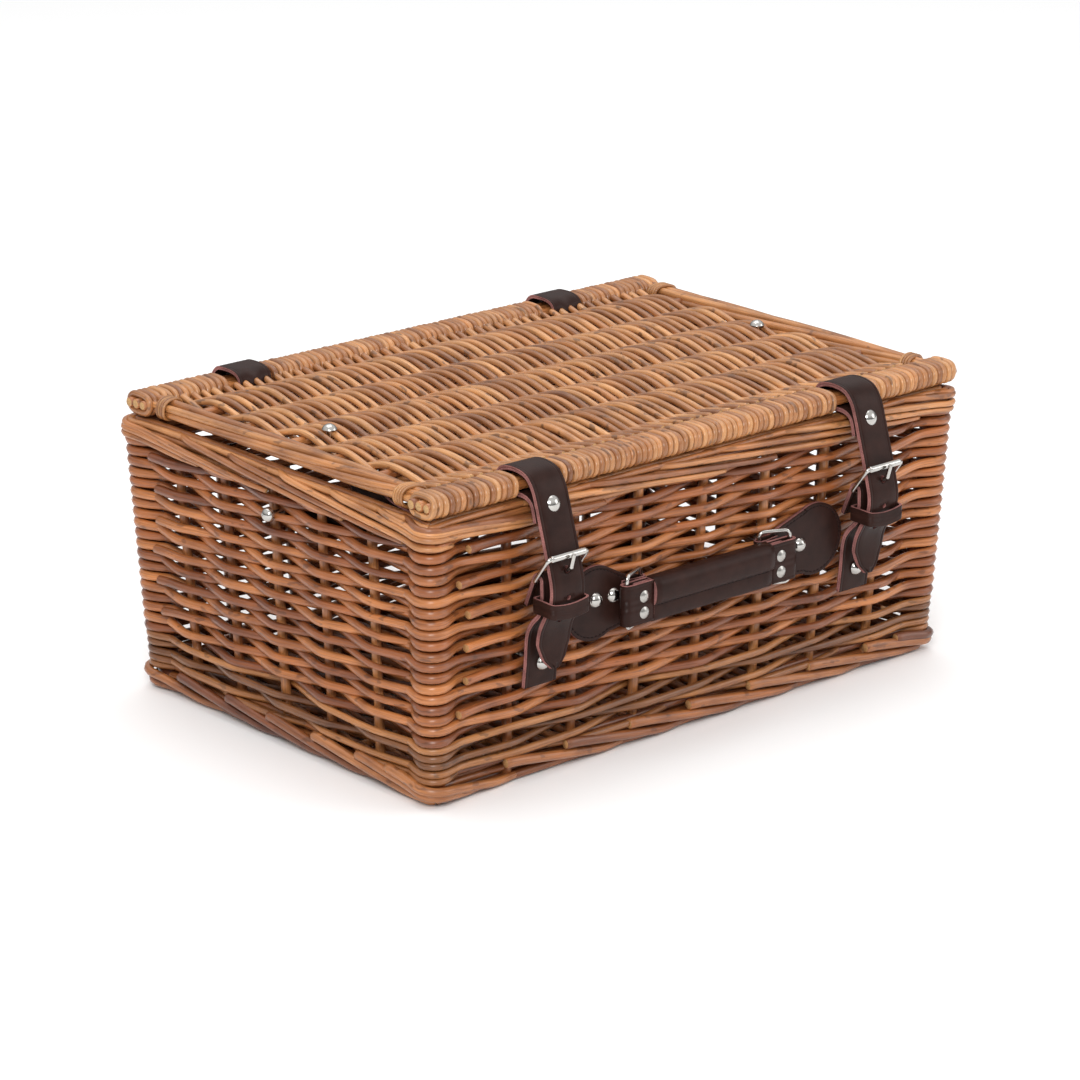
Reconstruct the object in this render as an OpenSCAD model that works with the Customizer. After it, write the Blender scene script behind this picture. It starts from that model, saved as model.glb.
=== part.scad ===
// Woven willow picnic hamper with a hinged lid, two buckled closing straps,
// a leather carrying handle on wire rings and two folding lid stays.
// Millimetres. +X is the long side, the front faces -Y and +Z is up.

/* [Basket] */
// Outer length at the rim
rim_length = 460; // [440:1:500]
// Outer depth at the rim
rim_depth = 314; // [304:1:330]
// Height of the rim above the floor
rim_height = 188; // [186:1:190]
// How far each wall leans in from the rim to the foot
wall_lean = 9; // [6:1:11]
// Thickness of the randed walls
wall_t = 16; // [15:0.5:17]
// Height of the foot border
foot_h = 14; // [12:1:16]
// Height of the rolled rim border
rim_h = 14; // [12:1:15]
// Width of the rolled rim border
rim_w = 18; // [17:0.5:20]
// Thickness of the woven base
base_t = 12; // [11:1:13]

/* [Sticks and rods] */
// Diameter of a wall stake
stake_d = 7; // [5:0.5:8]
// Distance between stakes along the front and back
front_pitch = 53; // [50:1:56]
// Stakes along the front and along the back
front_stakes = 7; // [5:2:7]
// Distance between stakes along the two ends
end_pitch = 47; // [44:1:49]
// Stakes along each end
end_stakes = 5; // [3:2:5]
// Diameter of a corner post
post_d = 15; // [12:1:16]
// Depth of weave that wraps a corner post
post_wrap = 5.5; // [5:0.5:7]

/* [Lid] */
// Length of the lid
lid_length = 458; // [440:1:480]
// Depth of the lid
lid_depth = 316; // [306:1:330]
// Thickness of the lid
lid_t = 16; // [15:0.5:17]
// How far the lid sits to the right of the basket
lid_shift = 3; // [0:1:4]
// Diameter of a lid rod
lid_rod_d = 7; // [6:0.5:7.2]
// Width of the wrapped front and back bars
bar_w = 27; // [26:0.5:28]
// Distance between the sticks inside the lid
lid_pitch = 45; // [42:1:46]
// How far the lid swings open, in degrees
lid_open = 95; // [90:1:100]

/* [Closing straps] */
// Distance of the left strap from the middle
left_strap_x = 140; // [136:1:144]
// Distance of the right strap from the middle
right_strap_x = 136; // [132:1:140]
// Width of the straps
strap_w = 26; // [24:0.5:27]
// Thickness of the strap leather
strap_t = 3.5; // [3:0.1:3.6]
// Diameter of the buckle wire
buckle_wire = 3; // [2.8:0.1:3]
// Outer diameter of the buckle roller
roller_d = 6; // [5.6:0.1:6]
// Diameter of the prong
prong_d = 2.8; // [2.4:0.1:2.8]

/* [Handle] */
// Distance of the middle of the handle to the left of the middle
handle_left = 6; // [4:1:8]
// Height of the middle of the handle above the floor
handle_z = 106; // [102:1:110]
// Length of the rolled grip
grip_length = 104; // [98:1:106]
// Height of the rolled grip
grip_h = 30; // [28:1:32]
// Depth of the rolled grip
grip_t = 15; // [14:0.5:16]
// Height of the folded end tabs
tab_h = 27; // [25:0.5:28]
// Thickness of the tab and patch leather
leather_t = 3.3; // [3:0.1:3.4]
// Diameter of the ring wire
ring_wire = 3; // [2.8:0.1:3]
// Distance between the two uprights of a ring
ring_span = 21; // [20:0.5:22]
// Height of a ring between its wires' centres
ring_h = 35.2; // [34.4:0.2:36]
// Radius of the round part of a handle patch
patch_r = 24.5; // [23:0.5:25]

/* [Hidden] */
$fn = 48;

wicker = "#a9683b";
pale_wicker = "#c08a54";
dark_wicker = "#8a4f2c";
hide = "#33231f";
metal = "#c9c9cc";

foot_length = rim_length - 2 * wall_lean;
foot_depth = rim_depth - 2 * wall_lean;
lean = atan(wall_lean / rim_height);
rim_z = rim_height - rim_h;
corner_r = post_d / 2 + post_wrap;
front_shift = 5;
end_shift = 6;
base_z = foot_h - base_t;
base_stick_pitch = 48;

lid_z = rim_height + 1;
lid_mid_z = lid_z + lid_t / 2;
lid_top = lid_z + lid_t;
lid_left = lid_shift - lid_length / 2;
lid_right = lid_shift + lid_length / 2;
bar_y = (lid_depth - bar_w) / 2;
weave_y = lid_depth / 2 - bar_w;
side_w = 22;
side_gap = 3;
stick_shift = 8;

hinge_y = lid_depth / 2 + 2.5;
hinge_z = lid_z + 1;
hinge_w = 26;
hinge_gap = 0.5;

heel = [-169, 139.5];
roller_at = [-182.4, 157];
prong_bend = [-185.2, 150];
prong_tip = [-187.9, 158.8];
frame_half = strap_w / 2 + 3;
hole_d = 5;
hole_drop = 16.5;
keeper_z = 118.5;
keeper_h = 11;
keeper_t = 2;
tongue_end = 80;
prong_eye_r = 3.4;
rivet_from = [-161, 184.2];
rivet_to = [-169.5, 187.1];
lower_rivet_z = 81;

handle_x = -handle_left;
handle_y = -167;
eye_gap = 1.9;
tab_r = 4.4;
neck_r = 3.6;
neck_gap = 1.8;
patch_y = -154.7;
neck_y = patch_y - 3.8;
ring_x = 71.2;
ring_tilt = asin((neck_y - handle_y) / ring_span);
neck_dx = ring_x - ring_span * cos(ring_tilt);
tab_slot = 3.9;
patch_z = 109;
left_disc_x = -96;
right_disc_x = 98;
dome_r = 5;
dome_h = 3.4;
patch_rivet_places = [[-95, 111], [-80, 111], [84, 108], [68, 108]];
hinge_rivet_z = 158;

stud_z = 157.6;
stay_w = 18;
stay_t = 2.5;
stay_clear = 9.5;
left_lid_stud_x = -180;
right_lid_stud_x = 196;
stay_end_z = lid_z - 3;
stud_rel = [-hinge_y, stay_end_z - hinge_z];
stud_open = [hinge_y + stud_rel[0] * cos(lid_open) + stud_rel[1] * sin(lid_open),
    hinge_z - stud_rel[0] * sin(lid_open) + stud_rel[1] * cos(lid_open)];
stay_half = norm(stud_open - [0, stud_z]) / 2;
fold_z = (stud_z + stay_end_z) / 2;
fold_y = -sqrt(pow(stay_half, 2) - pow((stay_end_z - stud_z) / 2, 2));

front_reach = -(prong_tip[0] - prong_d / 2);
back_reach = hinge_y + strap_t / 2 + dome_h;
centre_y = (front_reach - back_reach) / 2;

// Points on a circle of radius r about c
function arc(c, r, from, to, steps) =
    [for (i = [0:steps]) let (a = from + (to - from) * i / steps) c + r * [cos(a), sin(a)]];

// A point between b and c on a smooth curve through a, b, c and d
function between(a, b, c, d, t) = 0.5 * (2 * b + (c - a) * t
    + (2 * a - 5 * b + 4 * c - d) * pow(t, 2) + (3 * b - a - 3 * c + d) * pow(t, 3));

// A smooth curve through every point of a path
function smooth(path, steps) = let (last = len(path) - 1) concat(
    [for (i = [0:last - 1]) for (k = [0:steps - 1])
        between(path[max(i - 1, 0)], path[i], path[i + 1], path[min(i + 2, last)], k / steps)],
    [path[last]]);

// A smooth closed curve through every point of a path
function smooth_loop(path, steps) = let (n = len(path))
    [for (i = [0:n - 1]) for (k = [0:steps - 1])
        between(path[(i + n - 1) % n], path[i], path[(i + 1) % n], path[(i + 2) % n], k / steps)];

// The unit normal of a path at point i
function normal(path, i) = let (d = path[min(i + 1, len(path) - 1)] - path[max(i - 1, 0)])
    [-d[1], d[0]] / norm(d);

// The outline of a strip of leather, t thick, along a path
function strip(path, t) = let (last = len(path) - 1) concat(
    [for (i = [0:last]) path[i] + normal(path, i) * t / 2],
    [for (i = [last:-1:0]) path[i] - normal(path, i) * t / 2]);

// Middle line of a closing strap: short end, under the bar, over it and down to the tip
upper_path = smooth([[-166.3, 176], [-163, 187], [-156, 190.9], [-145, 190.9], [-135.5, 191.4],
    [-130.4, 196.5], [-134, 203.6], [-145, 206.2], [-157, 204.2], [-163.8, 197], [-167.8, 186.5],
    [-170.8, 176.5], [-175.4, 161.5], [-179, 149], [-181.6, 138], [-181, 128], [-175.6, 117.5],
    [-170.4, 107], [-168.4, 95], [-169.6, tongue_end]], 5);

// Middle line of a lower strap: short end, over the heel bar and down to the wall
heel_r = buckle_wire / 2 + 0.3 + strap_t / 2;
lower_path = concat([[-157.5, 121.5]], arc(heel, heel_r, 23, 180, 10),
    smooth([[-172.6, 134], [-172.6, 129], [-170.8, 118.8], [-163, 110], [-158.6, 101],
        [-156.9, 82], [-155, 66]], 5));

// Moves the basket so that its whole box stands on the origin
module place() {
    translate([0, centre_y, 0]) children();
}

// Draws a side view, Y to the right and Z up, w wide along X about x
module across(x, w) {
    translate([x, 0, 0]) rotate([90, 0, 90]) linear_extrude(w, center = true) children();
}

// A cylinder along X
module rod_x(from, to, y, z, r) {
    translate([from, y, z]) rotate([0, 90, 0]) cylinder(r = r, h = to - from);
}

// A cylinder along Y
module rod_y(x, from, to, z, r) {
    translate([x, from, z]) rotate([-90, 0, 0]) cylinder(r = r, h = to - from);
}

// A cylinder in the plane at x, from a to b given as [y, z]
module rod_side(x, a, b, r) {
    translate([x, a[0], a[1]]) rotate([atan2(b[1] - a[1], b[0] - a[0]), 0, 0])
        rotate([-90, 0, 0]) cylinder(r = r, h = norm(b - a));
}

// A rectangle with round corners
module round_rect(w, d, r) {
    square([w - 2 * r, d], center = true);
    square([w, d - 2 * r], center = true);
    for (x = [-1, 1], y = [-1, 1])
        translate([x * (w / 2 - r), y * (d / 2 - r)]) circle(r);
}

// A rivet head, domed along +Z
module dome(r, h) {
    ball = (r * r + h * h) / (2 * h);
    intersection() {
        translate([0, 0, h - ball]) sphere(ball);
        cylinder(r = r + 1, h = h + 1);
    }
}

// Stands a shape up in the leaning front (side = -1) or back (side = 1) wall
module in_long_wall(side) {
    rotate([0, 0, side < 0 ? 0 : 180]) translate([0, -foot_depth / 2, 0]) rotate([lean, 0, 0]) children();
}

// Stands a shape up in the leaning left (side = -1) or right (side = 1) wall
module in_end_wall(side) {
    rotate([0, 0, side < 0 ? -90 : 90]) translate([0, -foot_length / 2, 0]) rotate([lean, 0, 0]) children();
}

// A leaning round bar on a corner's line, between two heights
module corner_bar(side_x, side_y, r, from, to) {
    translate([side_x * (foot_length / 2 - corner_r), side_y * (foot_depth / 2 - corner_r), 0])
        rotate([-side_y * lean, side_x * lean, 0]) translate([0, 0, from]) cylinder(r = r, h = to - from);
}

// Stakes of one long wall
module long_wall_stakes(side, from, to) {
    in_long_wall(side) for (i = [0:front_stakes - 1])
        translate([-side * front_shift + (i - (front_stakes - 1) / 2) * front_pitch, wall_t / 2, from])
            cylinder(r = stake_d / 2, h = to - from);
}

// Stakes of one end wall
module end_wall_stakes(side, from, to) {
    in_end_wall(side) for (i = [0:end_stakes - 1])
        translate([side * end_shift + (i - (end_stakes - 1) / 2) * end_pitch, wall_t / 2, from])
            cylinder(r = stake_d / 2, h = to - from);
}

// The layer between the foot border and the rim border
module wall_band() {
    translate([-rim_length, -rim_depth, foot_h])
        cube([2 * rim_length, 2 * rim_depth, rim_z - foot_h]);
}

// Shanks of every rivet that passes through the front or back wall
module wall_shanks() {
    for (p = patch_rivet_places) rod_y(p[0], -170, -120, p[1], 2);
    for (x = [-left_strap_x, right_strap_x]) {
        rod_y(x, -170, -120, lower_rivet_z, 2);
        rod_y(x, 120, 170, hinge_rivet_z, 2);
    }
}

// Shanks of the studs that pass through the end walls
module stud_shanks() {
    for (side = [-1, 1])
        rod_x(side < 0 ? -240 : 200, side < 0 ? -200 : 240, 0, stud_z, 2);
}

// A long wall with both of its corners
module long_wall(side) {
    color(wicker) place() intersection() {
        wall_band();
        difference() {
            union() {
                in_long_wall(side) translate([-foot_length / 2 + corner_r, 0, 0])
                    cube([foot_length - 2 * corner_r, wall_t, rim_height + 5]);
                for (x = [-1, 1]) corner_bar(x, side, corner_r, 0, rim_height + 5);
            }
            for (x = [-1, 1]) corner_bar(x, side, post_d / 2, -1, rim_height + 9);
            long_wall_stakes(side, -1, rim_height + 9);
            wall_shanks();
        }
    }
}

// An end wall between the corners
module end_wall(side) {
    color(wicker) place() intersection() {
        wall_band();
        difference() {
            in_end_wall(side) translate([-foot_depth / 2 + corner_r, 0, 0])
                cube([foot_depth - 2 * corner_r, wall_t, rim_height + 5]);
            for (y = [-1, 1]) corner_bar(side, y, corner_r + 0.02, -1, rim_height + 9);
            for (y = [-1, 1]) in_long_wall(y)
                translate([-rim_length, -1, -1]) cube([2 * rim_length, wall_t + 1.02, rim_height + 9]);
            end_wall_stakes(side, -1, rim_height + 9);
            stud_shanks();
        }
    }
}

module front_wall_weave() long_wall(-1);
module back_wall_weave() long_wall(1);
module left_wall_weave() end_wall(-1);
module right_wall_weave() end_wall(1);

module corner_posts() {
    color(dark_wicker) place() for (x = [-1, 1], y = [-1, 1])
        corner_bar(x, y, post_d / 2, foot_h + 1.2, rim_z - 0.6);
}

module wall_stakes() {
    color(pale_wicker) place() for (side = [-1, 1]) {
        long_wall_stakes(side, foot_h + 0.6, rim_z - 0.2);
        end_wall_stakes(side, foot_h + 0.6, rim_z - 0.2);
    }
}

module base_weave() {
    color(wicker) place() difference() {
        translate([0, 0, base_z + base_t / 2])
            cube([foot_length - 2 * wall_t, foot_depth - 2 * wall_t, base_t], center = true);
        base_rods();
    }
}

// The long sticks that the base is woven on
module base_rods() {
    for (i = [-2:2])
        rod_x(-foot_length / 2 + wall_t, foot_length / 2 - wall_t, i * base_stick_pitch,
            base_z + base_t / 2, stake_d / 2);
}

module base_sticks() {
    color(pale_wicker) place() base_rods();
}

// A border ring, w wide, seen from above
module border(length, depth, w) {
    difference() {
        round_rect(length, depth, corner_r);
        square([length - 2 * w, depth - 2 * w], center = true);
    }
}

// The stretch of a border along one long side, corners included
module long_rail(length, depth, w, side) {
    intersection() {
        border(length, depth, w);
        translate([-length, side < 0 ? -depth : depth / 2 - w]) square([2 * length, depth / 2 + w]);
    }
}

// The stretch of a border along one end, between the long rails
module end_rail(length, depth, w, side) {
    translate([side * (length / 2 - w / 2), 0]) square([w, depth - 2 * w], center = true);
}

module foot_border_front() color(wicker) place() linear_extrude(foot_h) long_rail(foot_length, foot_depth, wall_t, -1);
module foot_border_back() color(wicker) place() linear_extrude(foot_h) long_rail(foot_length, foot_depth, wall_t, 1);
module foot_border_left() color(wicker) place() linear_extrude(foot_h) end_rail(foot_length, foot_depth, wall_t, -1);
module foot_border_right() color(wicker) place() linear_extrude(foot_h) end_rail(foot_length, foot_depth, wall_t, 1);

// The rim border stands on the wall
module on_wall() {
    color(pale_wicker) place() translate([0, 0, rim_z]) linear_extrude(rim_h) children();
}

module rim_border_front() on_wall() long_rail(rim_length, rim_depth, rim_w, -1);
module rim_border_back() on_wall() long_rail(rim_length, rim_depth, rim_w, 1);
module rim_border_left() on_wall() end_rail(rim_length, rim_depth, rim_w, -1);
module rim_border_right() on_wall() end_rail(rim_length, rim_depth, rim_w, 1);

// A lower strap: fixed to the wall below, folded over the heel bar above
module lower_strap(x) {
    color(hide) place() difference() {
        across(x, strap_w) polygon(strip(lower_path, strap_t));
        translate([x - 2.4, heel[0] - 12, heel[1] - 13]) cube([4.8, 20, 20.5]);
        rod_y(x, -170, -140, lower_rivet_z, 2);
    }
}

module left_lower_strap() lower_strap(-left_strap_x);
module right_lower_strap() lower_strap(right_strap_x);

// Distance of a long wall's inner face from the middle of the basket at height z
function inner_face(z) = foot_depth / 2 + wall_lean * z / rim_height - wall_t - 0.35;

// A rivet through the front wall: dome outside, washer inside
module wall_rivet(x, z, head_y) {
    washer_y = -inner_face(z);
    translate([x, head_y, z]) rotate([90, 0, 0]) dome(dome_r, dome_h);
    rod_y(x, head_y, washer_y, z, 2);
    rod_y(x, washer_y, washer_y + 1.2, z, dome_r);
}

module lower_strap_rivets() {
    color(metal) place() for (x = [-left_strap_x, right_strap_x])
        wall_rivet(x, lower_rivet_z, -159.3);
}

// A handle patch: a disc on the wall, a neck and an eye for the ring
module handle_patch(disc_x, neck_x) {
    dir = sign(neck_x - disc_x);
    neck_len = abs(neck_x - disc_x);
    color(hide) place() difference() {
        union() {
            translate([0, patch_y, 0]) rotate([90, 0, 0]) linear_extrude(leather_t) {
                translate([disc_x, patch_z]) circle(patch_r);
                polygon([[disc_x, patch_z + patch_r], [disc_x + dir * 12, patch_z + patch_r - 3],
                    [neck_x, handle_z + tab_h / 2], [neck_x, handle_z - tab_h / 2],
                    [disc_x + dir * 12, patch_z - patch_r + 3], [disc_x, patch_z - patch_r]]);
            }
            translate([neck_x, neck_y, handle_z]) cylinder(r = neck_r, h = tab_h, center = true);
        }
        translate([neck_x, neck_y, handle_z]) cylinder(r = neck_gap, h = tab_h + 9, center = true);
        for (p = patch_rivet_places) rod_y(p[0], -170, -150, p[1], 2);
    }
}

module left_handle_patch() handle_patch(left_disc_x, handle_x - neck_dx);
module right_handle_patch() handle_patch(right_disc_x, handle_x + neck_dx);

module patch_rivets() {
    color(metal) place() for (p = patch_rivet_places)
        wall_rivet(p[0], p[1], patch_y - leather_t);
}

// A stud through an end wall: ball outside, flat head inside the stay
module wall_stud(side) {
    outside = foot_length / 2 + wall_lean * stud_z / rim_height;
    mirror([side < 0 ? 1 : 0, 0, 0]) {
        translate([outside + 0.3, 0, stud_z]) rotate([0, 90, 0]) dome(dome_r, 5.4);
        rod_x(foot_length / 2 - stay_clear - stay_t - 1, outside + 0.3, 0, stud_z, 2);
        rod_x(foot_length / 2 - stay_clear - stay_t - 2.2, foot_length / 2 - stay_clear - stay_t - 0.4, 0,
            stud_z, dome_r);
    }
}

module stay_wall_studs() {
    color(metal) place() for (side = [-1, 1]) wall_stud(side);
}

// The part of each hinge strap that is fixed to the back of the basket
module hinge_tabs() {
    top = hinge_z - strap_t / 2 - hinge_gap - 0.45;
    bottom = hinge_rivet_z - 12;
    color(hide) place() difference() {
        for (x = [-left_strap_x, right_strap_x])
            translate([x - hinge_w / 2, hinge_y - strap_t / 2, bottom]) cube([hinge_w, strap_t, top - bottom]);
        for (x = [-left_strap_x, right_strap_x]) rod_y(x, 150, 170, hinge_rivet_z, 2);
    }
}

module hinge_rivets() {
    color(metal) place() for (x = [-left_strap_x, right_strap_x]) {
        translate([x, hinge_y + strap_t / 2, hinge_rivet_z]) rotate([-90, 0, 0]) dome(dome_r, dome_h);
        rod_y(x, inner_face(hinge_rivet_z), hinge_y + strap_t / 2, hinge_rivet_z, 2);
        rod_y(x, inner_face(hinge_rivet_z) - 1.2, inner_face(hinge_rivet_z), hinge_rivet_z, dome_r);
    }
}

// Slots in the lid's weave behind the front and back bars, where the straps pass
module strap_slots() {
    for (x = [-left_strap_x, right_strap_x], side = [-1, 1])
        translate([x, side * weave_y, lid_mid_z]) cube([strap_w + 4, 7, lid_t + 2], center = true);
}

// The five sticks that the lid is woven on
module lid_stick_rods(r) {
    for (i = [-2:2])
        rod_x(lid_left + side_w, lid_right - side_w, stick_shift + i * lid_pitch, lid_mid_z, r);
}

module lid_weave() {
    from = lid_left + side_w + side_gap;
    to = lid_right - side_w - side_gap;
    color(pale_wicker) place() difference() {
        translate([from, -weave_y, lid_z + 1]) cube([to - from, 2 * weave_y, lid_t - 2]);
        lid_stick_rods(lid_rod_d / 2);
        strap_slots();
        for (x = [left_lid_stud_x, right_lid_stud_x])
            translate([x, 0, lid_z - 5]) cylinder(r = 2, h = lid_t + 9);
    }
}

module lid_sticks() {
    color(pale_wicker) place() lid_stick_rods(lid_rod_d / 2);
}

// The three rods inside a bar of the lid
module bar_rods(side, r) {
    for (i = [-1:1]) rod_x(lid_left, lid_right, side * bar_y + i * lid_rod_d, lid_mid_z, r);
}

module lid_front_rods() color(dark_wicker) place() bar_rods(-1, lid_rod_d / 2 - 0.01);
module lid_back_rods() color(dark_wicker) place() bar_rods(1, lid_rod_d / 2 - 0.01);

// The wrapping of a bar, left open where the straps pass
module bar_wrap(side) {
    gap = strap_w / 2 + 2;
    color(pale_wicker) place() difference() {
        across(lid_shift, lid_length - 2) translate([side * bar_y, lid_mid_z])
            round_rect(bar_w, lid_t, 6);
        translate([lid_left - 1, side * bar_y - 1.5 * lid_rod_d, lid_mid_z - lid_rod_d / 2])
            cube([lid_length + 2, 3 * lid_rod_d, lid_rod_d]);
        for (x = [-left_strap_x, right_strap_x])
            translate([x - gap, side * lid_depth / 2 - 50, lid_z - 5]) cube([2 * gap, 100, lid_t + 10]);
    }
}

module lid_front_wrap() bar_wrap(-1);
module lid_back_wrap() bar_wrap(1);

// A bundle of five rods along one end of the lid
module side_rods(side) {
    r = side_w / 6;
    middle = lid_shift + side * (lid_length / 2 - side_w / 2);
    color(wicker) place() {
        for (i = [-1:1]) rod_y(middle + i * 2 * r, -weave_y, weave_y, lid_z + 1 + r, r - 0.01);
        for (i = [-0.5, 0.5]) rod_y(middle + i * 2 * r, -weave_y, weave_y, lid_z + 1 + r * (1 + sqrt(3)), r - 0.01);
    }
}

module lid_left_side_rods() side_rods(-1);
module lid_right_side_rods() side_rods(1);

// Bands of split cane that hold the side rods at each corner
module lid_corner_ties() {
    color(pale_wicker) place() for (side = [-1, 1], y = [-1, 1])
        translate([lid_shift + side * (lid_length / 2 - side_w / 2), y * (weave_y - 7), lid_mid_z])
            rotate([90, 0, 0]) linear_extrude(8, center = true) difference() {
                round_rect(side_w + 3.2, lid_t + 0.8, 3);
                round_rect(side_w + 0.6, lid_t - 1.8, 2);
            }
}

module stay_lid_studs() {
    color(metal) place() for (x = [left_lid_stud_x, right_lid_stud_x]) {
        translate([x, 0, lid_top - 1]) dome(dome_r, dome_h);
        translate([x, 0, stay_end_z - 1.6]) cylinder(r = 2, h = lid_top - 1 - stay_end_z + 1.6);
        translate([x, 0, stay_end_z - 2.8]) cylinder(r = dome_r, h = 1.2);
    }
}

// The part of each hinge strap that is looped round the lid's back bar
module hinge_loops() {
    near = bar_y + bar_w / 2;
    far = bar_y - bar_w / 2;
    outside = [[hinge_y + 1.75, hinge_z], [hinge_y + 1.95, lid_mid_z], [near - 1, lid_top + 0.6],
        [bar_y + 4, lid_top + 2.8], [far + 5, lid_top + 2.4], [far - 1.8, lid_top - 2.5],
        [far - 1.8, lid_mid_z - 1.5], [far + 4, lid_z + 0.6], [bar_y + 4, lid_z + 0.4],
        [hinge_y - 0.5, hinge_z - 1.7]];
    inside = [[hinge_y - 1.6, hinge_z + 1.8], [hinge_y - 1, lid_mid_z], [near - 3.2, lid_top - 1.6],
        [bar_y + 3, lid_top], [far + 6, lid_top - 0.4], [far + 1.1, lid_top - 3.6],
        [far + 1.1, lid_mid_z - 1.5], [far + 5, lid_z + 3.3], [bar_y + 4, lid_z + 3.2]];
    color(hide) place() for (x = [-left_strap_x, right_strap_x]) across(x, hinge_w) difference() {
        polygon(smooth_loop(outside, 5));
        polygon(smooth_loop(inside, 5));
    }
}

// The outline of a closing strap from the front, with its pointed tip
module strap_front(x) {
    translate([x, 0]) polygon([[-strap_w / 2, 260], [-strap_w / 2, tongue_end + 17], [-8, tongue_end + 5],
        [-2.5, tongue_end + 0.5], [2.5, tongue_end + 0.5], [8, tongue_end + 5],
        [strap_w / 2, tongue_end + 17], [strap_w / 2, 260]]);
}

// A closing strap, looped round the lid's front bar
module upper_strap(x) {
    crossing = (heel + 1.6 * prong_bend) / 2.6;
    color(hide) place() difference() {
        intersection() {
            across(x, strap_w) polygon(strip(upper_path, strap_t));
            translate([0, -120, 0]) rotate([90, 0, 0]) linear_extrude(90) strap_front(x);
        }
        rod_side(x, heel, prong_bend, hole_d / 2);
        for (i = [1:2]) rod_y(x, -200, -160, crossing[1] - i * hole_drop, hole_d / 2 - 0.8);
        rod_side(x, rivet_from, rivet_to, 2);
    }
}

module left_upper_strap() upper_strap(-left_strap_x);
module right_upper_strap() upper_strap(right_strap_x);

// The rivet that closes a strap's loop
module strap_rivet(x) {
    tilt = atan2(rivet_to[1] - rivet_from[1], rivet_to[0] - rivet_from[0]);
    color(metal) place() {
        rod_side(x, rivet_from, rivet_to, 2);
        translate([x, rivet_to[0], rivet_to[1]]) rotate([tilt - 90, 0, 0]) dome(dome_r, 2.2);
    }
}

module left_strap_rivet() strap_rivet(-left_strap_x);
module right_strap_rivet() strap_rivet(right_strap_x);

// The wire frame of a buckle, from its heel bar to its roller bar
module buckle_frame(x) {
    r = buckle_wire / 2;
    rise = atan2(roller_at[1] - heel[1], roller_at[0] - heel[0]);
    color(metal) place() {
        rod_x(x - frame_half, x + frame_half, heel[0], heel[1], r);
        rod_x(x - frame_half, x + frame_half, roller_at[0], roller_at[1], r);
        for (side = [-1, 1]) translate([x + side * frame_half, heel[0], heel[1]]) rotate([rise, 0, 0])
            translate([-r, -r - 0.1, -r - 0.1]) cube([2 * r, norm(roller_at - heel) + 2 * r + 0.2, 2 * r + 0.2]);
    }
}

module left_buckle_frame() buckle_frame(-left_strap_x);
module right_buckle_frame() buckle_frame(right_strap_x);

// The tube that turns on the roller bar
module roller(x) {
    color(metal) place() across(x, 2 * frame_half - buckle_wire - 1.2) translate(roller_at) difference() {
        circle(roller_d / 2);
        circle(buckle_wire / 2 + 0.08);
    }
}

module left_roller() roller(-left_strap_x);
module right_roller() roller(right_strap_x);

// The prong, bent to lie on the roller, with an eye round the heel bar
module prong(x) {
    out = (prong_bend - heel) / norm(prong_bend - heel);
    color(metal) place() difference() {
        union() {
            across(x, 3.6) translate(heel) circle(prong_eye_r);
            rod_side(x, heel + 2.2 * out, prong_bend, prong_d / 2);
            translate([x, prong_bend[0], prong_bend[1]]) sphere(prong_d / 2 + 0.1);
            rod_side(x, prong_bend, prong_tip, prong_d / 2);
        }
        rod_x(x - 5, x + 5, heel[0], heel[1], buckle_wire / 2 + 0.08);
    }
}

module left_prong() prong(-left_strap_x);
module right_prong() prong(right_strap_x);

// The leather band that holds the strap's end
module keeper(x) {
    back = -167.7;
    front = -184.3;
    half = strap_w / 2 + 0.6;
    color(hide) place() translate([x, (back + front) / 2, keeper_z]) linear_extrude(keeper_h) difference() {
        round_rect(2 * (half + keeper_t), back - front + 2 * keeper_t, 3);
        square([2 * half, back - front], center = true);
    }
}

module left_keeper() keeper(-left_strap_x);
module right_keeper() keeper(right_strap_x);

// The strap inside the handle, with both ends folded round the rings
module handle_strap() {
    half = grip_length / 2;
    color(hide) place() translate([handle_x, handle_y, handle_z]) difference() {
        linear_extrude(tab_h, center = true) difference() {
            union() {
                square([2 * half, leather_t], center = true);
                for (side = [-1, 1]) {
                    translate([side * ring_x, 0]) circle(tab_r);
                    translate([side * (ring_x + half) / 2, 0]) square([ring_x - half, 2 * tab_r], center = true);
                }
            }
            for (side = [-1, 1]) {
                translate([side * ring_x, 0]) circle(eye_gap);
                translate([side * (ring_x - tab_slot / 2), 0]) square([tab_slot, 2 * eye_gap], center = true);
                translate([side * (ring_x - tab_slot), 0]) circle(eye_gap);
            }
        }
        handle_shanks(0);
    }
}

// The shanks of the four rivets in the end tabs
module handle_shanks(extra) {
    for (side = [-1, 1], z = [-1, 1])
        rod_y(side * 60, -tab_r - extra, tab_r + extra, z * 5.4 - 1, 2);
}

// The grip: leather rolled round the strap
module handle_grip() {
    color(hide) place() translate([handle_x, handle_y, handle_z]) rotate([90, 0, 90]) difference() {
        linear_extrude(grip_length - 0.4, center = true) round_rect(grip_t, grip_h, 6.5);
        linear_extrude(grip_length + 2, center = true) square([leather_t, tab_h], center = true);
        for (side = [-1, 1]) translate([4.2, -tab_h, side > 0 ? 47.4 : -60]) cube([10, 2 * tab_h, 12.6]);
    }
}

module handle_rivets() {
    color(metal) place() translate([handle_x, handle_y, handle_z]) {
        handle_shanks(0);
        for (side = [-1, 1], z = [-1, 1], face = [-1, 1])
            translate([side * 60, face * tab_r, z * 5.4 - 1]) rotate([-face * 90, 0, 0]) dome(3.9, 1.3);
    }
}

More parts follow.
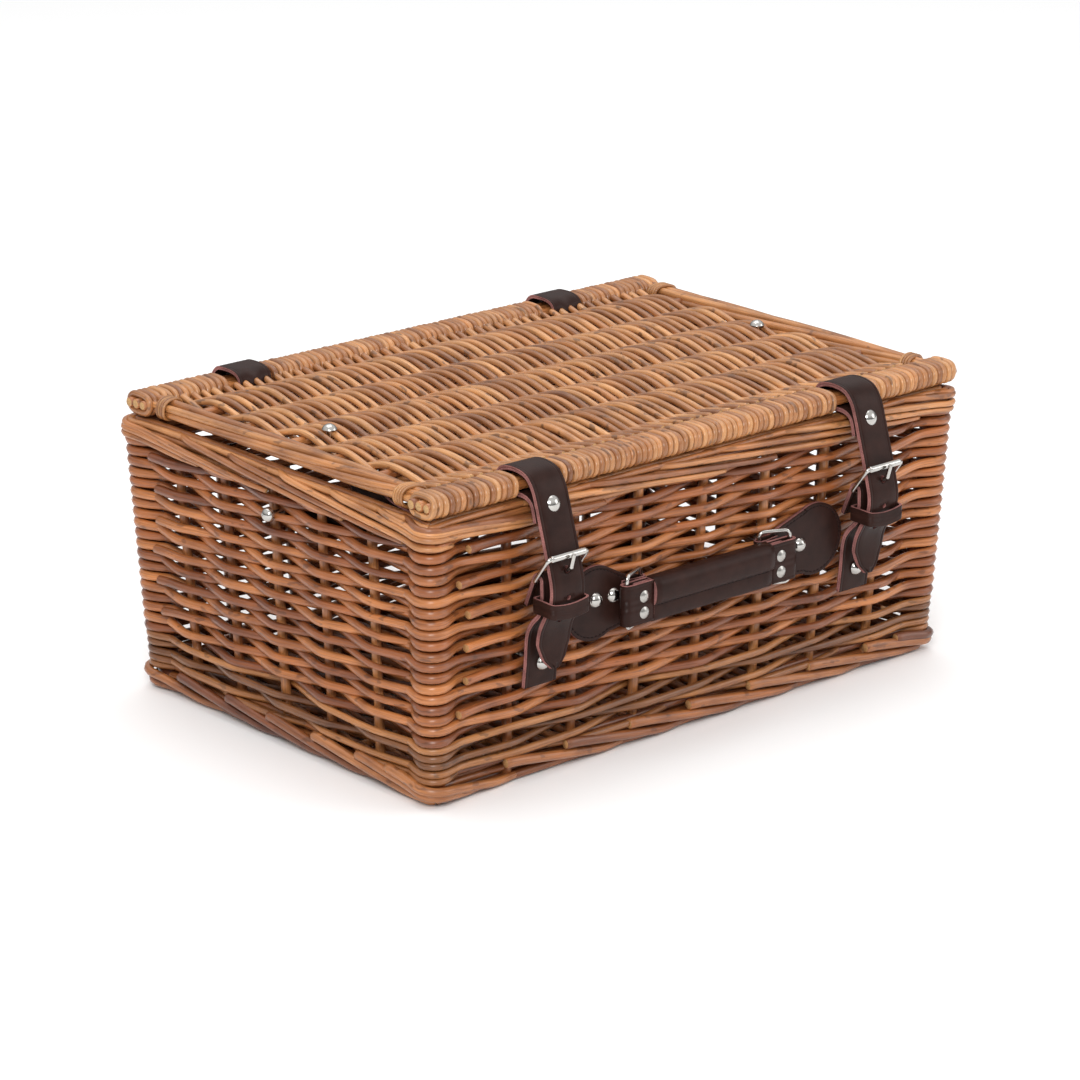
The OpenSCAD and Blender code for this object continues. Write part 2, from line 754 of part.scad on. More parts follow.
// A rectangular wire ring, hung on its patch's eye
module ring(side) {
    r = ring_wire / 2;
    color(metal) place() translate([handle_x + side * neck_dx, neck_y, handle_z + 1.3])
        rotate([0, 0, -side * ring_tilt]) {
            for (x = [0, side * ring_span]) translate([x, 0, -ring_h / 2]) cylinder(r = r, h = ring_h);
            for (z = [-ring_h / 2, ring_h / 2])
                rod_x(min(0, side * ring_span) - r, max(0, side * ring_span) + r, 0, z, r + 0.15);
        }
}

module left_ring() ring(-1);
module right_ring() ring(1);

// The lower half of a folded lid stay, flat against an end wall
module stay_lower(side) {
    inner = foot_length / 2 - stay_clear - stay_t;
    tilt = atan2(fold_z - stud_z, fold_y);
    color(hide) place() mirror([side < 0 ? 1 : 0, 0, 0]) difference() {
        translate([inner, 0, stud_z]) rotate([tilt, 0, 0]) rotate([90, 0, 90]) linear_extrude(stay_t) {
            translate([0, -stay_w / 2]) square([stay_half, stay_w]);
            circle(stay_w / 2);
        }
        rod_x(inner - 5, inner + 9, 0, stud_z, 2.1);
    }
}

module left_stay_lower() stay_lower(-1);
module right_stay_lower() stay_lower(1);

// The upper half of a folded lid stay, from the fold to the lid
module stay_upper(side, stud_x) {
    inner = foot_length / 2 - stay_clear - 2 * stay_t - 0.4;
    color(hide) place() difference() {
        union() {
            mirror([side < 0 ? 1 : 0, 0, 0]) hull() {
                translate([inner, fold_y, fold_z - stay_w / 2]) cube([stay_t, 1, stay_w]);
                translate([abs(stud_x) - stay_w / 2, -14, stay_end_z - 1.2]) cube([stay_w, 1, stay_t]);
            }
            translate([stud_x, -7, stay_end_z - 1.2 + stay_t / 2]) cube([stay_w, 14, stay_t], center = true);
            translate([stud_x, 0, stay_end_z - 1.2]) cylinder(r = stay_w / 2, h = stay_t);
        }
        translate([stud_x, 0, stay_end_z - 5]) cylinder(r = 2.1, h = 12);
    }
}

module left_stay_upper() stay_upper(-1, left_lid_stud_x);
module right_stay_upper() stay_upper(1, right_lid_stud_x);

front_wall_weave();
back_wall_weave();
left_wall_weave();
right_wall_weave();
corner_posts();
wall_stakes();
base_weave();
base_sticks();
foot_border_front();
foot_border_back();
foot_border_left();
foot_border_right();
rim_border_front();
rim_border_back();
rim_border_left();
rim_border_right();
left_lower_strap();
right_lower_strap();
lower_strap_rivets();
left_handle_patch();
right_handle_patch();
patch_rivets();
stay_wall_studs();
hinge_tabs();
hinge_rivets();
lid_weave();
lid_sticks();
lid_front_rods();
lid_back_rods();
lid_front_wrap();
lid_back_wrap();
lid_left_side_rods();
lid_right_side_rods();
lid_corner_ties();
stay_lid_studs();
hinge_loops();
left_upper_strap();
right_upper_strap();
left_strap_rivet();
right_strap_rivet();
left_buckle_frame();
right_buckle_frame();
left_roller();
right_roller();
left_prong();
right_prong();
left_keeper();
right_keeper();
handle_strap();
handle_grip();
handle_rivets();
left_ring();
right_ring();
left_stay_lower();
left_stay_upper();
right_stay_lower();
right_stay_upper();
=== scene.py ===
"""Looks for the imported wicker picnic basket: woven willow, leather straps, buckles and handle."""

import math

import bmesh
import bpy
import numpy as np
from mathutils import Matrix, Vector


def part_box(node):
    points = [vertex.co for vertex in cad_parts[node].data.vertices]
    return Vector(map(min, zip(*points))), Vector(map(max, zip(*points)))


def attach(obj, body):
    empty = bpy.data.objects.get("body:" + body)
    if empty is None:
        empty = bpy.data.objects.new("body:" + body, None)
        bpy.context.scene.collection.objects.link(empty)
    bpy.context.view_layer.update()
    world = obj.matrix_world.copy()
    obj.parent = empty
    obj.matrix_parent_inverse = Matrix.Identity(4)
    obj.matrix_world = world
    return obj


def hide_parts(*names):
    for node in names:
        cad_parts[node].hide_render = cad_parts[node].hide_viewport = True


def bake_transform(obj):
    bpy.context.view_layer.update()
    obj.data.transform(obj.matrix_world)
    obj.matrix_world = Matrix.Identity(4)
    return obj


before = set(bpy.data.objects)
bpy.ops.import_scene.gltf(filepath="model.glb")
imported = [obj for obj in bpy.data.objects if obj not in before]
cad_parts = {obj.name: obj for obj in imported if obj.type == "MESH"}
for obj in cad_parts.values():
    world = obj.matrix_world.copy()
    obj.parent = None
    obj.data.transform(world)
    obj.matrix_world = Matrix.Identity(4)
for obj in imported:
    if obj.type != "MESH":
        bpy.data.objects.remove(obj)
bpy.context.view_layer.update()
rng = np.random.default_rng(11)

# -------------------------------------------- sizes, in millimetres about the basket's middle


def box_mm(node):
    """Lowest and highest corner of a CAD node, in millimetres about the basket's middle."""
    lo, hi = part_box(node)
    return np.array(lo) * 1000 - MIDDLE, np.array(hi) * 1000 - MIDDLE


def mid_mm(node):
    """Middle of a CAD node's box."""
    return sum(box_mm(node)) / 2


MIDDLE = np.zeros(3)
MIDDLE[1] = (box_mm("foot_border_front")[0][1] + box_mm("foot_border_back")[1][1]) / 2
FOOT_X = box_mm("foot_border_front")[1][0]
FOOT_Y = box_mm("foot_border_back")[1][1]
RIM_X = box_mm("rim_border_front")[1][0]
RIM_Z = box_mm("rim_border_front")[1][2]
LEAN = (RIM_X - FOOT_X) / RIM_Z
CORNER = 10.5  # from a wall's end to the middle of its corner's curve
CORNER_LEN = 14.0  # the curve's share of the way round
POST_OFF = 7.7  # how far out a weaver passes a corner post
LONG_STAKES = [5 + 53 * i for i in range(-3, 4)]
END_STAKES = [6 + 47 * i for i in range(-2, 3)]
LID_LO, LID_HI = box_mm("lid_front_rods")[0], box_mm("lid_back_rods")[1]
LID_L, LID_R = LID_LO[0], LID_HI[0]
LID_Z = (LID_LO[2] + LID_HI[2]) / 2
BAR_Y = mid_mm("lid_back_rods")[1]
STRAP_X = [mid_mm(side + "_upper_strap")[0] for side in ("left", "right")]
HEEL_Y, HEEL_Z = -169.0, 139.5  # the buckles' heel bars
HANDLE_Z = 106.0
EYE_R = 3.6  # the patch's fold round a handle ring
CREASE = 2.35  # from a patch's edge to its pressed line and stitches

# -------------------------------------------- the walls' outline

# each wall's (start u, length) in order front, right, back, left, and the whole way round
SPANS, AROUND = [], 0.0
for half_side in (FOOT_X, FOOT_Y, FOOT_X, FOOT_Y):
    SPANS.append((AROUND, 2 * (half_side - CORNER)))
    AROUND += 2 * (half_side - CORNER) + CORNER_LEN


def around(u, off, z):
    """Points at distance u along the walls' middle line, off outwards from it, at height z."""
    u = np.mod(u, AROUND)
    out = np.zeros((len(u), 3))
    grow = LEAN * z
    px, py = FOOT_X + grow - CORNER, FOOT_Y + grow - CORNER
    radius = CORNER - 8 + off
    for wall, (start, length) in enumerate(SPANS):
        normal = math.radians(-90 + 90 * wall)
        n = np.array([math.cos(normal), math.sin(normal)])
        t = np.array([-n[1], n[0]])
        far, wide = (py, px) if wall % 2 == 0 else (px, py)
        on = (u >= start) & (u <= start + length)
        share = (u - start) / length * 2 - 1
        flat = n[None] * (far + radius)[:, None] + t[None] * (share * wide)[:, None]
        out[on, :2] = flat[on]
        on = (u > start + length) & (u < start + length + CORNER_LEN)
        a = normal + (u - start - length) / CORNER_LEN * math.pi / 2
        turn = np.stack([np.cos(a), np.sin(a)], 1) * radius[:, None]
        centre = n[None] * far[:, None] + t[None] * wide[:, None]
        out[on, :2] = (centre + turn)[on]
    out[:, 2] = z
    return out


def wall_u(wall, t):
    """u of the point t millimetres along a wall from its middle, counted in the outline's direction."""
    start, length = SPANS[wall]
    return start + length / 2 + t


def ease(x, xs, ys):
    """Values at x on a curve through (xs, ys) that is level at every knot."""
    xs, ys = np.asarray(xs, float), np.asarray(ys, float)
    i = np.clip(np.searchsorted(xs, x) - 1, 0, len(xs) - 2)
    f = np.clip((x - xs[i]) / (xs[i + 1] - xs[i]), 0, 1)
    return ys[i] + (ys[i + 1] - ys[i]) * f * f * (3 - 2 * f)


def bent(x, xs, ys, passes=3):
    """Values at x on straight lines through (xs, ys), rounded off where they meet."""
    v = np.interp(x, xs, ys)
    for _ in range(passes):
        v[1:-1] = (v[:-2] + 2 * v[1:-1] + v[2:]) / 4
    return v


# -------------------------------------------- rods


def unit(vectors):
    return vectors / (np.linalg.norm(vectors, axis=1)[:, None] + 1e-12)


def new_mesh(name, verts, faces, materials, mats, smooth):
    """A mesh from points in metres, with a material number and a smooth flag for each face."""
    mesh = bpy.data.meshes.new(name)
    mesh.from_pydata(np.asarray(verts).tolist(), [], faces)
    for m in materials:
        mesh.materials.append(m)
    mesh.polygons.foreach_set("material_index", np.array(mats, np.int32))
    mesh.polygons.foreach_set("use_smooth", smooth)
    mesh.update()
    return mesh


def placed(name, data):
    """A new object in the scene."""
    obj = bpy.data.objects.new(name, data)
    bpy.context.scene.collection.objects.link(obj)
    return obj


def settle(mesh, body, replaces):
    """Puts a finished mesh in the scene, on its body if it has just one, standing for its CAD nodes."""
    piece = placed(mesh.name, mesh)
    if body:
        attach(piece, body)
    if replaces:
        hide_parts(*replaces)
    return piece


class Rods:
    """Collects round rods into one mesh, with the length, girth and shade of each as an attribute."""

    def __init__(self, name, sides=8):
        self.name, self.sides = name, sides
        self.v, self.f, self.a, self.m = [], [], [], []
        self.count = 0

    def add(self, pts, radius, shade=None, flat=1.0, ends=True, ref=(0, 0, 1)):
        """One rod through pts (mm). flat below 1 squeezes it along its own outward side."""
        pts = np.asarray(pts, float)
        n, k = len(pts), self.sides
        r = np.broadcast_to(np.asarray(radius, float), (n,))
        tan = unit(np.gradient(pts, axis=0))
        side = unit(np.cross(tan, np.array(ref, float)))
        up = np.cross(side, tan)
        ang = np.arange(k) / k * 2 * math.pi
        cos, sin = np.cos(ang)[None, :, None], np.sin(ang)[None, :, None]
        ring = side[:, None] * cos * flat + up[:, None] * sin
        ring = pts[:, None] + ring * r[:, None, None]
        along = np.concatenate([[0], np.cumsum(np.linalg.norm(np.diff(pts, axis=0), axis=1))])
        tone = rng.random() if shade is None else shade
        start = rng.random() * 900
        att = np.zeros((n, k, 3))
        att[..., 0] = (along + start)[:, None]
        att[..., 1] = np.sin(ang) * 3
        att[..., 2] = tone
        base = self.count
        self.v.append(ring.reshape(-1, 3))
        self.a.append(att.reshape(-1, 3))
        i = np.arange(n - 1)[:, None] * k
        j = np.arange(k)[None]
        here, after = base + i, (j + 1) % k
        quads = np.stack([here + j, here + after, here + k + after, here + k + j], -1)
        self.f += quads.reshape(-1, 4).tolist()
        self.m += [0] * ((n - 1) * k)
        self.count += n * k
        if ends:
            for end, way in ((0, -1), (n - 1, 1)):
                out = tan[end] * way * r[end]
                inner = pts[end] + (ring[end] - pts[end]) * 0.82 + out * 0.16
                self.v.append(np.vstack([inner, pts[end] + out * 0.22]))
                self.a.append(np.vstack([att[end], att[end][:1]]))
                ring0, ring1, c = base + end * k, self.count, self.count + k
                for q in range(k):
                    p = (q + 1) % k
                    quad = [ring0 + q, ring0 + p, ring1 + p, ring1 + q]
                    tri = [ring1 + q, ring1 + p, c]
                    if way < 0:
                        quad, tri = quad[::-1], tri[::-1]
                    self.f += [quad, tri]
                    self.m += [0, 1]
                self.count += k + 1

    def build(self, body, replaces, slot, materials):
        """Makes the mesh of all the rods and settles it."""
        verts = (np.vstack(self.v) + MIDDLE) / 1000
        mesh = new_mesh(self.name, verts, self.f, materials, self.m, np.ones(len(self.f), bool))
        rod = mesh.attributes.new("rod", "FLOAT_VECTOR", "POINT")
        rod.data.foreach_set("vector", np.vstack(self.a).astype(np.float32).ravel())
        return settle(mesh, body, replaces)


# -------------------------------------------- materials


def nodes_of(name):
    mat = bpy.data.materials.new(name)
    mat.use_nodes = True
    tree = mat.node_tree
    bsdf = tree.nodes["Principled BSDF"]
    return mat, tree, bsdf


def link(tree, a, b):
    tree.links.new(a, b)


def node(tree, kind, **sockets):
    n = tree.nodes.new(kind)
    for k, v in sockets.items():
        if k in n.inputs:
            n.inputs[k].default_value = v
        else:
            setattr(n, k, v)
    return n


def ramp(tree, fac, stops):
    r = tree.nodes.new("ShaderNodeValToRGB")
    while len(r.color_ramp.elements) < len(stops):
        r.color_ramp.elements.new(0.5)
    for e, (pos, col) in zip(r.color_ramp.elements, stops):
        e.position, e.color = pos, (*col, 1)
    link(tree, fac, r.inputs["Fac"])
    return r.outputs["Color"]


def mix(tree, kind, fac, a, b):
    m = tree.nodes.new("ShaderNodeMix")
    m.data_type, m.blend_type = "RGBA", kind
    for socket, value in ((m.inputs["Factor"], fac), (m.inputs["A"], a), (m.inputs["B"], b)):
        if isinstance(value, bpy.types.NodeSocket):
            link(tree, value, socket)
        else:
            socket.default_value = value if isinstance(value, float) else (*value, 1)
    return m.outputs["Result"]


def scaled(tree, vector, scale):
    m = tree.nodes.new("ShaderNodeMapping")
    m.inputs["Scale"].default_value = scale
    link(tree, vector, m.inputs["Vector"])
    return m.outputs["Vector"]


def noise(tree, vector, scale, detail=3.0, rough=0.55):
    n = node(tree, "ShaderNodeTexNoise", Scale=scale, Detail=detail, Roughness=rough)
    link(tree, vector, n.inputs["Vector"])
    return n.outputs["Fac"]


def roughness(tree, bsdf, value, low, high):
    """Drives the shader's roughness from low to high as value goes from 0 to 1."""
    m = tree.nodes.new("ShaderNodeMapRange")
    link(tree, value, m.inputs["Value"])
    m.inputs["To Min"].default_value, m.inputs["To Max"].default_value = low, high
    link(tree, m.outputs["Result"], bsdf.inputs["Roughness"])


def bumped(tree, bsdf, height, strength, distance):
    bump = node(tree, "ShaderNodeBump", Strength=strength, Distance=distance)
    link(tree, height, bump.inputs["Height"])
    link(tree, bump.outputs["Normal"], bsdf.inputs["Normal"])


def willow(name, dark, mid, light, knot=0.5, gloss=0.34):
    """Varnished willow: one shade a rod, streaks along it, dark knots and a slight sheen."""
    mat, tree, bsdf = nodes_of(name)
    rod = node(tree, "ShaderNodeAttribute", attribute_name="rod").outputs["Vector"]

    def grain(scale, detail, rough=0.55):
        return noise(tree, scaled(tree, rod, scale), 1.0, detail, rough)

    split = node(tree, "ShaderNodeSeparateXYZ")
    link(tree, rod, split.inputs[0])
    shade = ramp(tree, split.outputs["Z"], [(0.0, dark), (0.45, mid), (1.0, light)])
    slow = grain((0.02, 0.05, 31), 3)
    streak = grain((0.03, 1.6, 53), 5, 0.7)
    blotch = ramp(tree, slow, [(0.3, (0.5, 0.42, 0.38)), (0.55, (1, 1, 1)), (0.8, (1.25, 1.2, 1.1))])
    line = ramp(tree, streak, [(0.34, (0.5, 0.43, 0.38)), (0.56, (1.1, 1.08, 1.05))])
    colour = mix(tree, "MULTIPLY", 1.0, shade, blotch)
    colour = mix(tree, "MULTIPLY", 0.8, colour, line)
    spots = ramp(tree, grain((0.075, 0.2, 71), 2, 0.5), [(0.63, (0, 0, 0)), (0.67, (knot,) * 3)])
    colour = mix(tree, "MIX", spots, colour, tuple(c * 0.35 for c in dark))
    link(tree, colour, bsdf.inputs["Base Color"])
    roughness(tree, bsdf, streak, gloss + 0.14, gloss - 0.06)
    bsdf.inputs["Specular IOR Level"].default_value = 0.5
    bsdf.inputs["Coat Weight"].default_value = 0.4
    bsdf.inputs["Coat Roughness"].default_value = 0.2
    bumped(tree, bsdf, grain((0.12, 3.2, 13), 4, 0.65), 0.35, 0.0005)
    return mat


def cut_end(name, colour):
    """The pale pith of a cut rod."""
    mat, tree, bsdf = nodes_of(name)
    coord = node(tree, "ShaderNodeTexCoord").outputs["Object"]
    grain = noise(tree, coord, 900.0, 3)
    pith = ramp(tree, grain, [(0.3, tuple(c * 0.6 for c in colour)), (0.7, colour)])
    link(tree, pith, bsdf.inputs["Base Color"])
    bsdf.inputs["Roughness"].default_value = 0.7
    return mat


def leather(name, colour, edge=False, rough=0.4):
    """Smooth dyed hide with fine pores, or the raw fibrous cut edge of it."""
    mat, tree, bsdf = nodes_of(name)
    coord = node(tree, "ShaderNodeTexCoord").outputs["Object"]
    cloud = noise(tree, coord, 90.0, 4)
    low = tuple(c * (0.62 if edge else 0.75) for c in colour)
    high = tuple(min(1, c * 1.25) for c in colour)
    base = ramp(tree, cloud, [(0.3, low), (0.7, high)])
    if edge:
        relief = noise(tree, coord, 1400.0, 5, 0.7)
        fibres = ramp(tree, relief, [(0.35, (0.45, 0.4, 0.42)), (0.6, (1.1, 1.1, 1.1))])
        base = mix(tree, "MULTIPLY", 0.7, base, fibres)
    else:
        pores = node(tree, "ShaderNodeTexVoronoi", Scale=1900.0)
        link(tree, coord, pores.inputs["Vector"])
        relief = pores.outputs["Distance"]
    link(tree, base, bsdf.inputs["Base Color"])
    roughness(tree, bsdf, cloud, rough - 0.07, rough + 0.1)
    bsdf.inputs["Specular IOR Level"].default_value = 0.12
    bumped(tree, bsdf, relief, 0.5 if edge else 0.12, 0.0004)
    return mat


def metal(name, colour, rough):
    """Plated wire or sheet, slightly smeared."""
    mat, tree, bsdf = nodes_of(name)
    smear = noise(tree, node(tree, "ShaderNodeTexCoord").outputs["Object"], 160.0, 4)
    tint = ramp(tree, smear, [(0.3, tuple(c * 0.85 for c in colour)), (0.7, colour)])
    link(tree, tint, bsdf.inputs["Base Color"])
    roughness(tree, bsdf, smear, rough, rough + 0.1)
    bsdf.inputs["Metallic"].default_value = 1.0
    return mat


WALL = willow("willow_wall", (0.17, 0.045, 0.013), (0.36, 0.115, 0.032), (0.52, 0.195, 0.06))
WALL_END = cut_end("willow_wall_end", (0.5, 0.26, 0.1))
STAKE = willow("willow_stake", (0.26, 0.085, 0.027), (0.43, 0.165, 0.053), (0.55, 0.24, 0.085))
POST = willow("willow_post", (0.1, 0.026, 0.01), (0.19, 0.05, 0.018), (0.3, 0.09, 0.03), gloss=0.3)
FOOT = willow("willow_foot", (0.19, 0.055, 0.017), (0.36, 0.125, 0.036), (0.48, 0.19, 0.062))
RIM = willow("willow_rim", (0.25, 0.085, 0.028), (0.45, 0.175, 0.057), (0.58, 0.26, 0.095))
BUNDLE = willow("willow_bundle", (0.27, 0.095, 0.03), (0.47, 0.195, 0.065), (0.58, 0.27, 0.1))
WALE = willow("willow_wale", (0.18, 0.066, 0.018), (0.34, 0.13, 0.037), (0.47, 0.2, 0.062))
LID = willow("willow_lid", (0.32, 0.125, 0.042), (0.5, 0.22, 0.08), (0.62, 0.31, 0.125), knot=0.7)
LID_END = cut_end("willow_lid_end", (0.62, 0.36, 0.15))
CANE = willow("cane_tie", (0.3, 0.12, 0.038), (0.48, 0.22, 0.075), (0.58, 0.3, 0.11), knot=0.2)
HIDE = leather("hide", (0.026, 0.0108, 0.0082), rough=0.34)
HIDE_EDGE = leather("hide_edge", (0.36, 0.16, 0.145), edge=True, rough=0.8)
HIDE_INK = leather("hide_stitch", (0.012, 0.006, 0.0055), rough=0.6)
CHROME = metal("nickel", (0.56, 0.54, 0.51), 0.12)
STEEL = metal("nickel_worn", (0.5, 0.48, 0.45), 0.24)

# -------------------------------------------- woven walls

FRONT, RIGHT, BACK, LEFT = range(4)
WALL_NAMES = ("front", "right", "back", "left")
TRAVEL = 6.5  # how far a weaver swings out or in at a stake


def at_corner(u, reach=13.0):
    """1 in the middle of each corner, falling to 0 about reach away."""
    near = np.full(np.shape(u), 1e9)
    for start, length in SPANS:
        gap = np.abs(np.mod(u, AROUND) - (start + length + CORNER_LEN / 2))
        near = np.minimum(near, np.minimum(gap, AROUND - gap))
    return np.exp(-((near / reach) ** 2))


def stakes_along(wall):
    """Where a wall's stakes stand, counted in the outline's direction."""
    places = LONG_STAKES if wall in (FRONT, BACK) else END_STAKES
    return sorted(places) if wall in (FRONT, RIGHT) else sorted(-p for p in places)


def wall_span(wall):
    """The stretch of the outline that a wall's piece covers: the long walls take the corners."""
    start, length = SPANS[wall]
    beyond = CORNER_LEN + 15 if wall in (FRONT, BACK) else -15
    return start - beyond, start + length + beyond


def weave_rows(pieces, heights, pattern, radius, corner_radius, corner_z, rest=lambda row: False):
    """Rows of weavers round the basket. pattern(i, row) is 1 outside stake i and -1 inside it.
    A row for which rest says True stops short of the corners, so that its cut ends show."""
    for row, z in enumerate(heights):
        knots = []
        split = rest(row)
        shade = rng.random()
        for wall in range(4):
            for i, t in enumerate(stakes_along(wall)):
                knots.append((wall_u(wall, t), TRAVEL * pattern(i, row) + rng.normal(0, 0.2),
                              z + rng.normal(0, 0.6), radius * (1 + rng.normal(0, 0.08))))
            start, length = SPANS[wall]
            end = start + length
            after = end + CORNER_LEN
            post_z = corner_z(row, z) + rng.normal(0, 0.2)
            last, first = (TRAVEL * pattern(i, row) for i in (len(stakes_along(wall)) - 1, 0))
            knots += [(end - 15, 0.3 * last + 1.2, post_z, radius),
                      (end - 2, POST_OFF, post_z, corner_radius),
                      (after + 2, POST_OFF, post_z, corner_radius),
                      (after + 15, 0.3 * first + 1.2, post_z, radius)]
        us, *loop = np.array(knots).T
        loop_u = np.concatenate([us - AROUND, us, us + AROUND])
        loop = [np.tile(a, 3) for a in loop]
        for wall in range(4):
            lo, hi = wall_span(wall)
            if split:
                start, length = SPANS[wall]
                lo, hi = start + 17 + rng.uniform(-5, 7), start + length - 6
            u = np.linspace(lo, hi, max(4, int((hi - lo) / 3.6)))
            off, zz, rr = (bent(u, loop_u, a) for a in loop)
            if split:
                near = np.clip((u - lo) / 26, 0, 1)
                off = off * near + (1 - near) * 7.9
                far = np.clip((hi - u) / 30, 0, 1)
                off = off * far + (1 - far) * -5.5
                rr = rr * (0.8 + 0.28 * (1 - (u - lo) / (hi - lo)))
            tone = rng.random() if split else shade
            pieces[wall].add(around(u, off, zz), rr, tone, ends=split)


def build_walls():
    """Four woven walls with a waling band at their foot, their stakes and the corner posts."""
    rods = [Rods(n + "_wall_rods") for n in WALL_NAMES]
    heights = np.linspace(43.2, 171.8, 25)
    step = heights[1] - heights[0]

    def corner_z(row, z):
        j = row % 4
        return z if j == 3 else z - j * step - step / 2 + (j + 0.5) * step * 4 / 3

    weave_rows(rods, heights, lambda i, row: 1 if (i + row + 1) % 2 == 0 else -1, 2.93, 3.35, corner_z,
               rest=lambda row: row % 4 == 3)
    wale = [Rods(n + "_wall_waling") for n in WALL_NAMES]
    weave_rows(wale, np.linspace(17.4, 38.4, 5), lambda i, row: -1 if (i + row) % 3 == 0 else 1.15,
               2.45, 2.6, lambda row, z: z)
    for wall, name in enumerate(WALL_NAMES):
        rods[wall].build("basket", [name + "_wall_weave"], "wicker", [WALL, WALL_END])
        wale[wall].build("basket", [name + "_wall_weave"], "wicker", [WALE, WALL_END])
    stakes = Rods("wall_stake_rods", 10)
    for wall in range(4):
        for t in stakes_along(wall):
            z = np.linspace(5, 182, 24)
            wander = np.cumsum(rng.normal(0, 0.12, 24))
            pts = around(np.full(24, wall_u(wall, t)) + wander, rng.normal(0, 0.15, 24) - 0.3, z)
            stakes.add(pts, 3.3, ref=(1, 0, 0) if wall in (RIGHT, LEFT) else (0, 1, 0))
    stakes.build("basket", ["wall_stakes"], "pale_wicker", [STAKE, WALL_END])
    posts = Rods("corner_post_rods", 18)
    for start, length in SPANS:
        u = np.full(30, start + length + CORNER_LEN / 2)
        posts.add(around(u, np.full(30, 8.0 - CORNER), np.linspace(3, 181, 30)), 7.2, ref=(1, 0, 0))
    posts.build("basket", ["corner_posts"], "dark_wicker", [POST, WALL_END])


def anchors():
    """Places round the outline where a border rod starts: every stake, and one more by each corner."""
    places = []
    for wall in range(4):
        start, length = SPANS[wall]
        us = [wall_u(wall, t) for t in stakes_along(wall)]
        gap = start + length + CORNER_LEN / 2 - us[-1]
        places += [(wall, u) for u in us + [us[-1] + gap * 0.55]]
    return places


def build_foot():
    """The foot border: thick rods turned down from each stake over straight ones."""
    rods = [Rods(n + "_foot_rods", 10) for n in WALL_NAMES]
    for wall, u0 in anchors():
        u0 += rng.normal(0, 2.5)
        reach = 108 + rng.uniform(-8, 10)
        share = np.linspace(0, 1, 34)
        u = u0 - 10 + reach * share
        z = bent(share, [0, 0.08, 0.8, 1], [16.6, 16.4, 4.2, 3.6], 5)
        off = bent(share, [0, 0.15, 0.5, 0.8, 1], [8.4, 9.0, 8.0, 5.5, 1.0], 4) + 2.5 * at_corner(u)
        rods[wall].add(around(u, off, z), 3.45 - 0.85 * share + rng.normal(0, 0.1))
    straight = ((3.6, 1.5, 2.9), (9.6, -1.5, 2.6), (17.4, 0.5, 2.5), (5.0, -5.0, 3.1), (12.5, -5.5, 3.1))
    for wall in range(4):
        start, length = SPANS[wall]
        u = np.linspace(start - 4, start + length + 4, 110)
        for z, off, r in straight:
            wave = np.sin(u / 17 + z) * 0.5 + 2 * at_corner(u)
            rods[wall].add(around(u, off + wave, np.full(110, z)), r, rng.random() * 0.5)
        rods[wall].build("basket", [f"foot_border_{WALL_NAMES[wall]}"], "wicker", [FOOT, WALL_END])


def build_rim():
    """The rim border: thin rods that slope along the outside over a bundle of level ones."""
    rods = [Rods(n + "_rim_rods") for n in WALL_NAMES]
    top = RIM_Z - 2.6
    for wall, u0 in anchors():
        u0 += rng.normal(0, 2)
        share = np.linspace(0, 1, 60)
        u = u0 + (176 + rng.uniform(-14, 14)) * share
        z = bent(share, [0, 0.1, 0.9, 1], [top - 1, top, top - 12.6, top - 14], 4) + rng.normal(0, 0.25)
        off = bent(share, [0, 0.12, 0.5, 0.9, 1], [-2, 6.4, 8.2, 7.8, 5.5], 4) + rng.normal(0, 0.2)
        rods[wall].add(around(u, off + 3 * at_corner(u), z), 2.25 - 0.45 * share + rng.normal(0, 0.08))
    level = ((-0.4, 2.6), (0.1, -1.9), (-1.2, -5.4), (-5.5, -6.0), (-9.8, -5.9), (-5, 3.0), (-9.5, 3.0))
    for wall in range(4):
        start, length = SPANS[wall]
        u = np.linspace(start - 7, start + length + 7, 120)
        for z, off in level:
            wave = np.sin(u / 31 + off) * 0.5 + 3 * at_corner(u)
            pts = around(u, off + wave, top + z + 0.3 * np.sin(u / 19 + z))
            rods[wall].add(pts, 2.5 + rng.normal(0, 0.1))
        rods[wall].build("basket", [f"rim_border_{WALL_NAMES[wall]}"], "pale_wicker", [RIM, WALL_END])


def build_base():
    """The woven floor and the five sticks that it is woven on."""
    lo, hi = box_mm("base_weave")
    middle = (lo[2] + hi[2]) / 2
    sticks = [48.0 * i for i in range(-2, 3)]
    weave = Rods("base_rods")
    y = np.linspace(lo[1] + 1, hi[1] - 1, 70)
    for i, x in enumerate(np.arange(lo[0] + 4, hi[0] - 3, 6.1)):
        knots = [lo[1]] + sticks + [hi[1]]
        levels = [0] + [2.7 * (1 if (i + k) % 2 else -1) for k in range(5)] + [0]
        z = middle + ease(y, knots, levels)
        weave.add(np.stack([np.full(70, x) + np.sin(y / 40 + i) * 0.4, y, z], 1), 2.7, ref=(1, 0, 0))
    weave.build("basket", ["base_weave"], "wicker", [FOOT, WALL_END])
    long_rods = Rods("base_stick_rods")
    for y0 in sticks:
        x = np.linspace(lo[0], hi[0], 40)
        long_rods.add(np.stack([x, np.full(40, y0), np.full(40, middle)], 1), 3.0)
    long_rods.build("basket", ["base_sticks"], "pale_wicker", [STAKE, WALL_END])


# -------------------------------------------- the lid


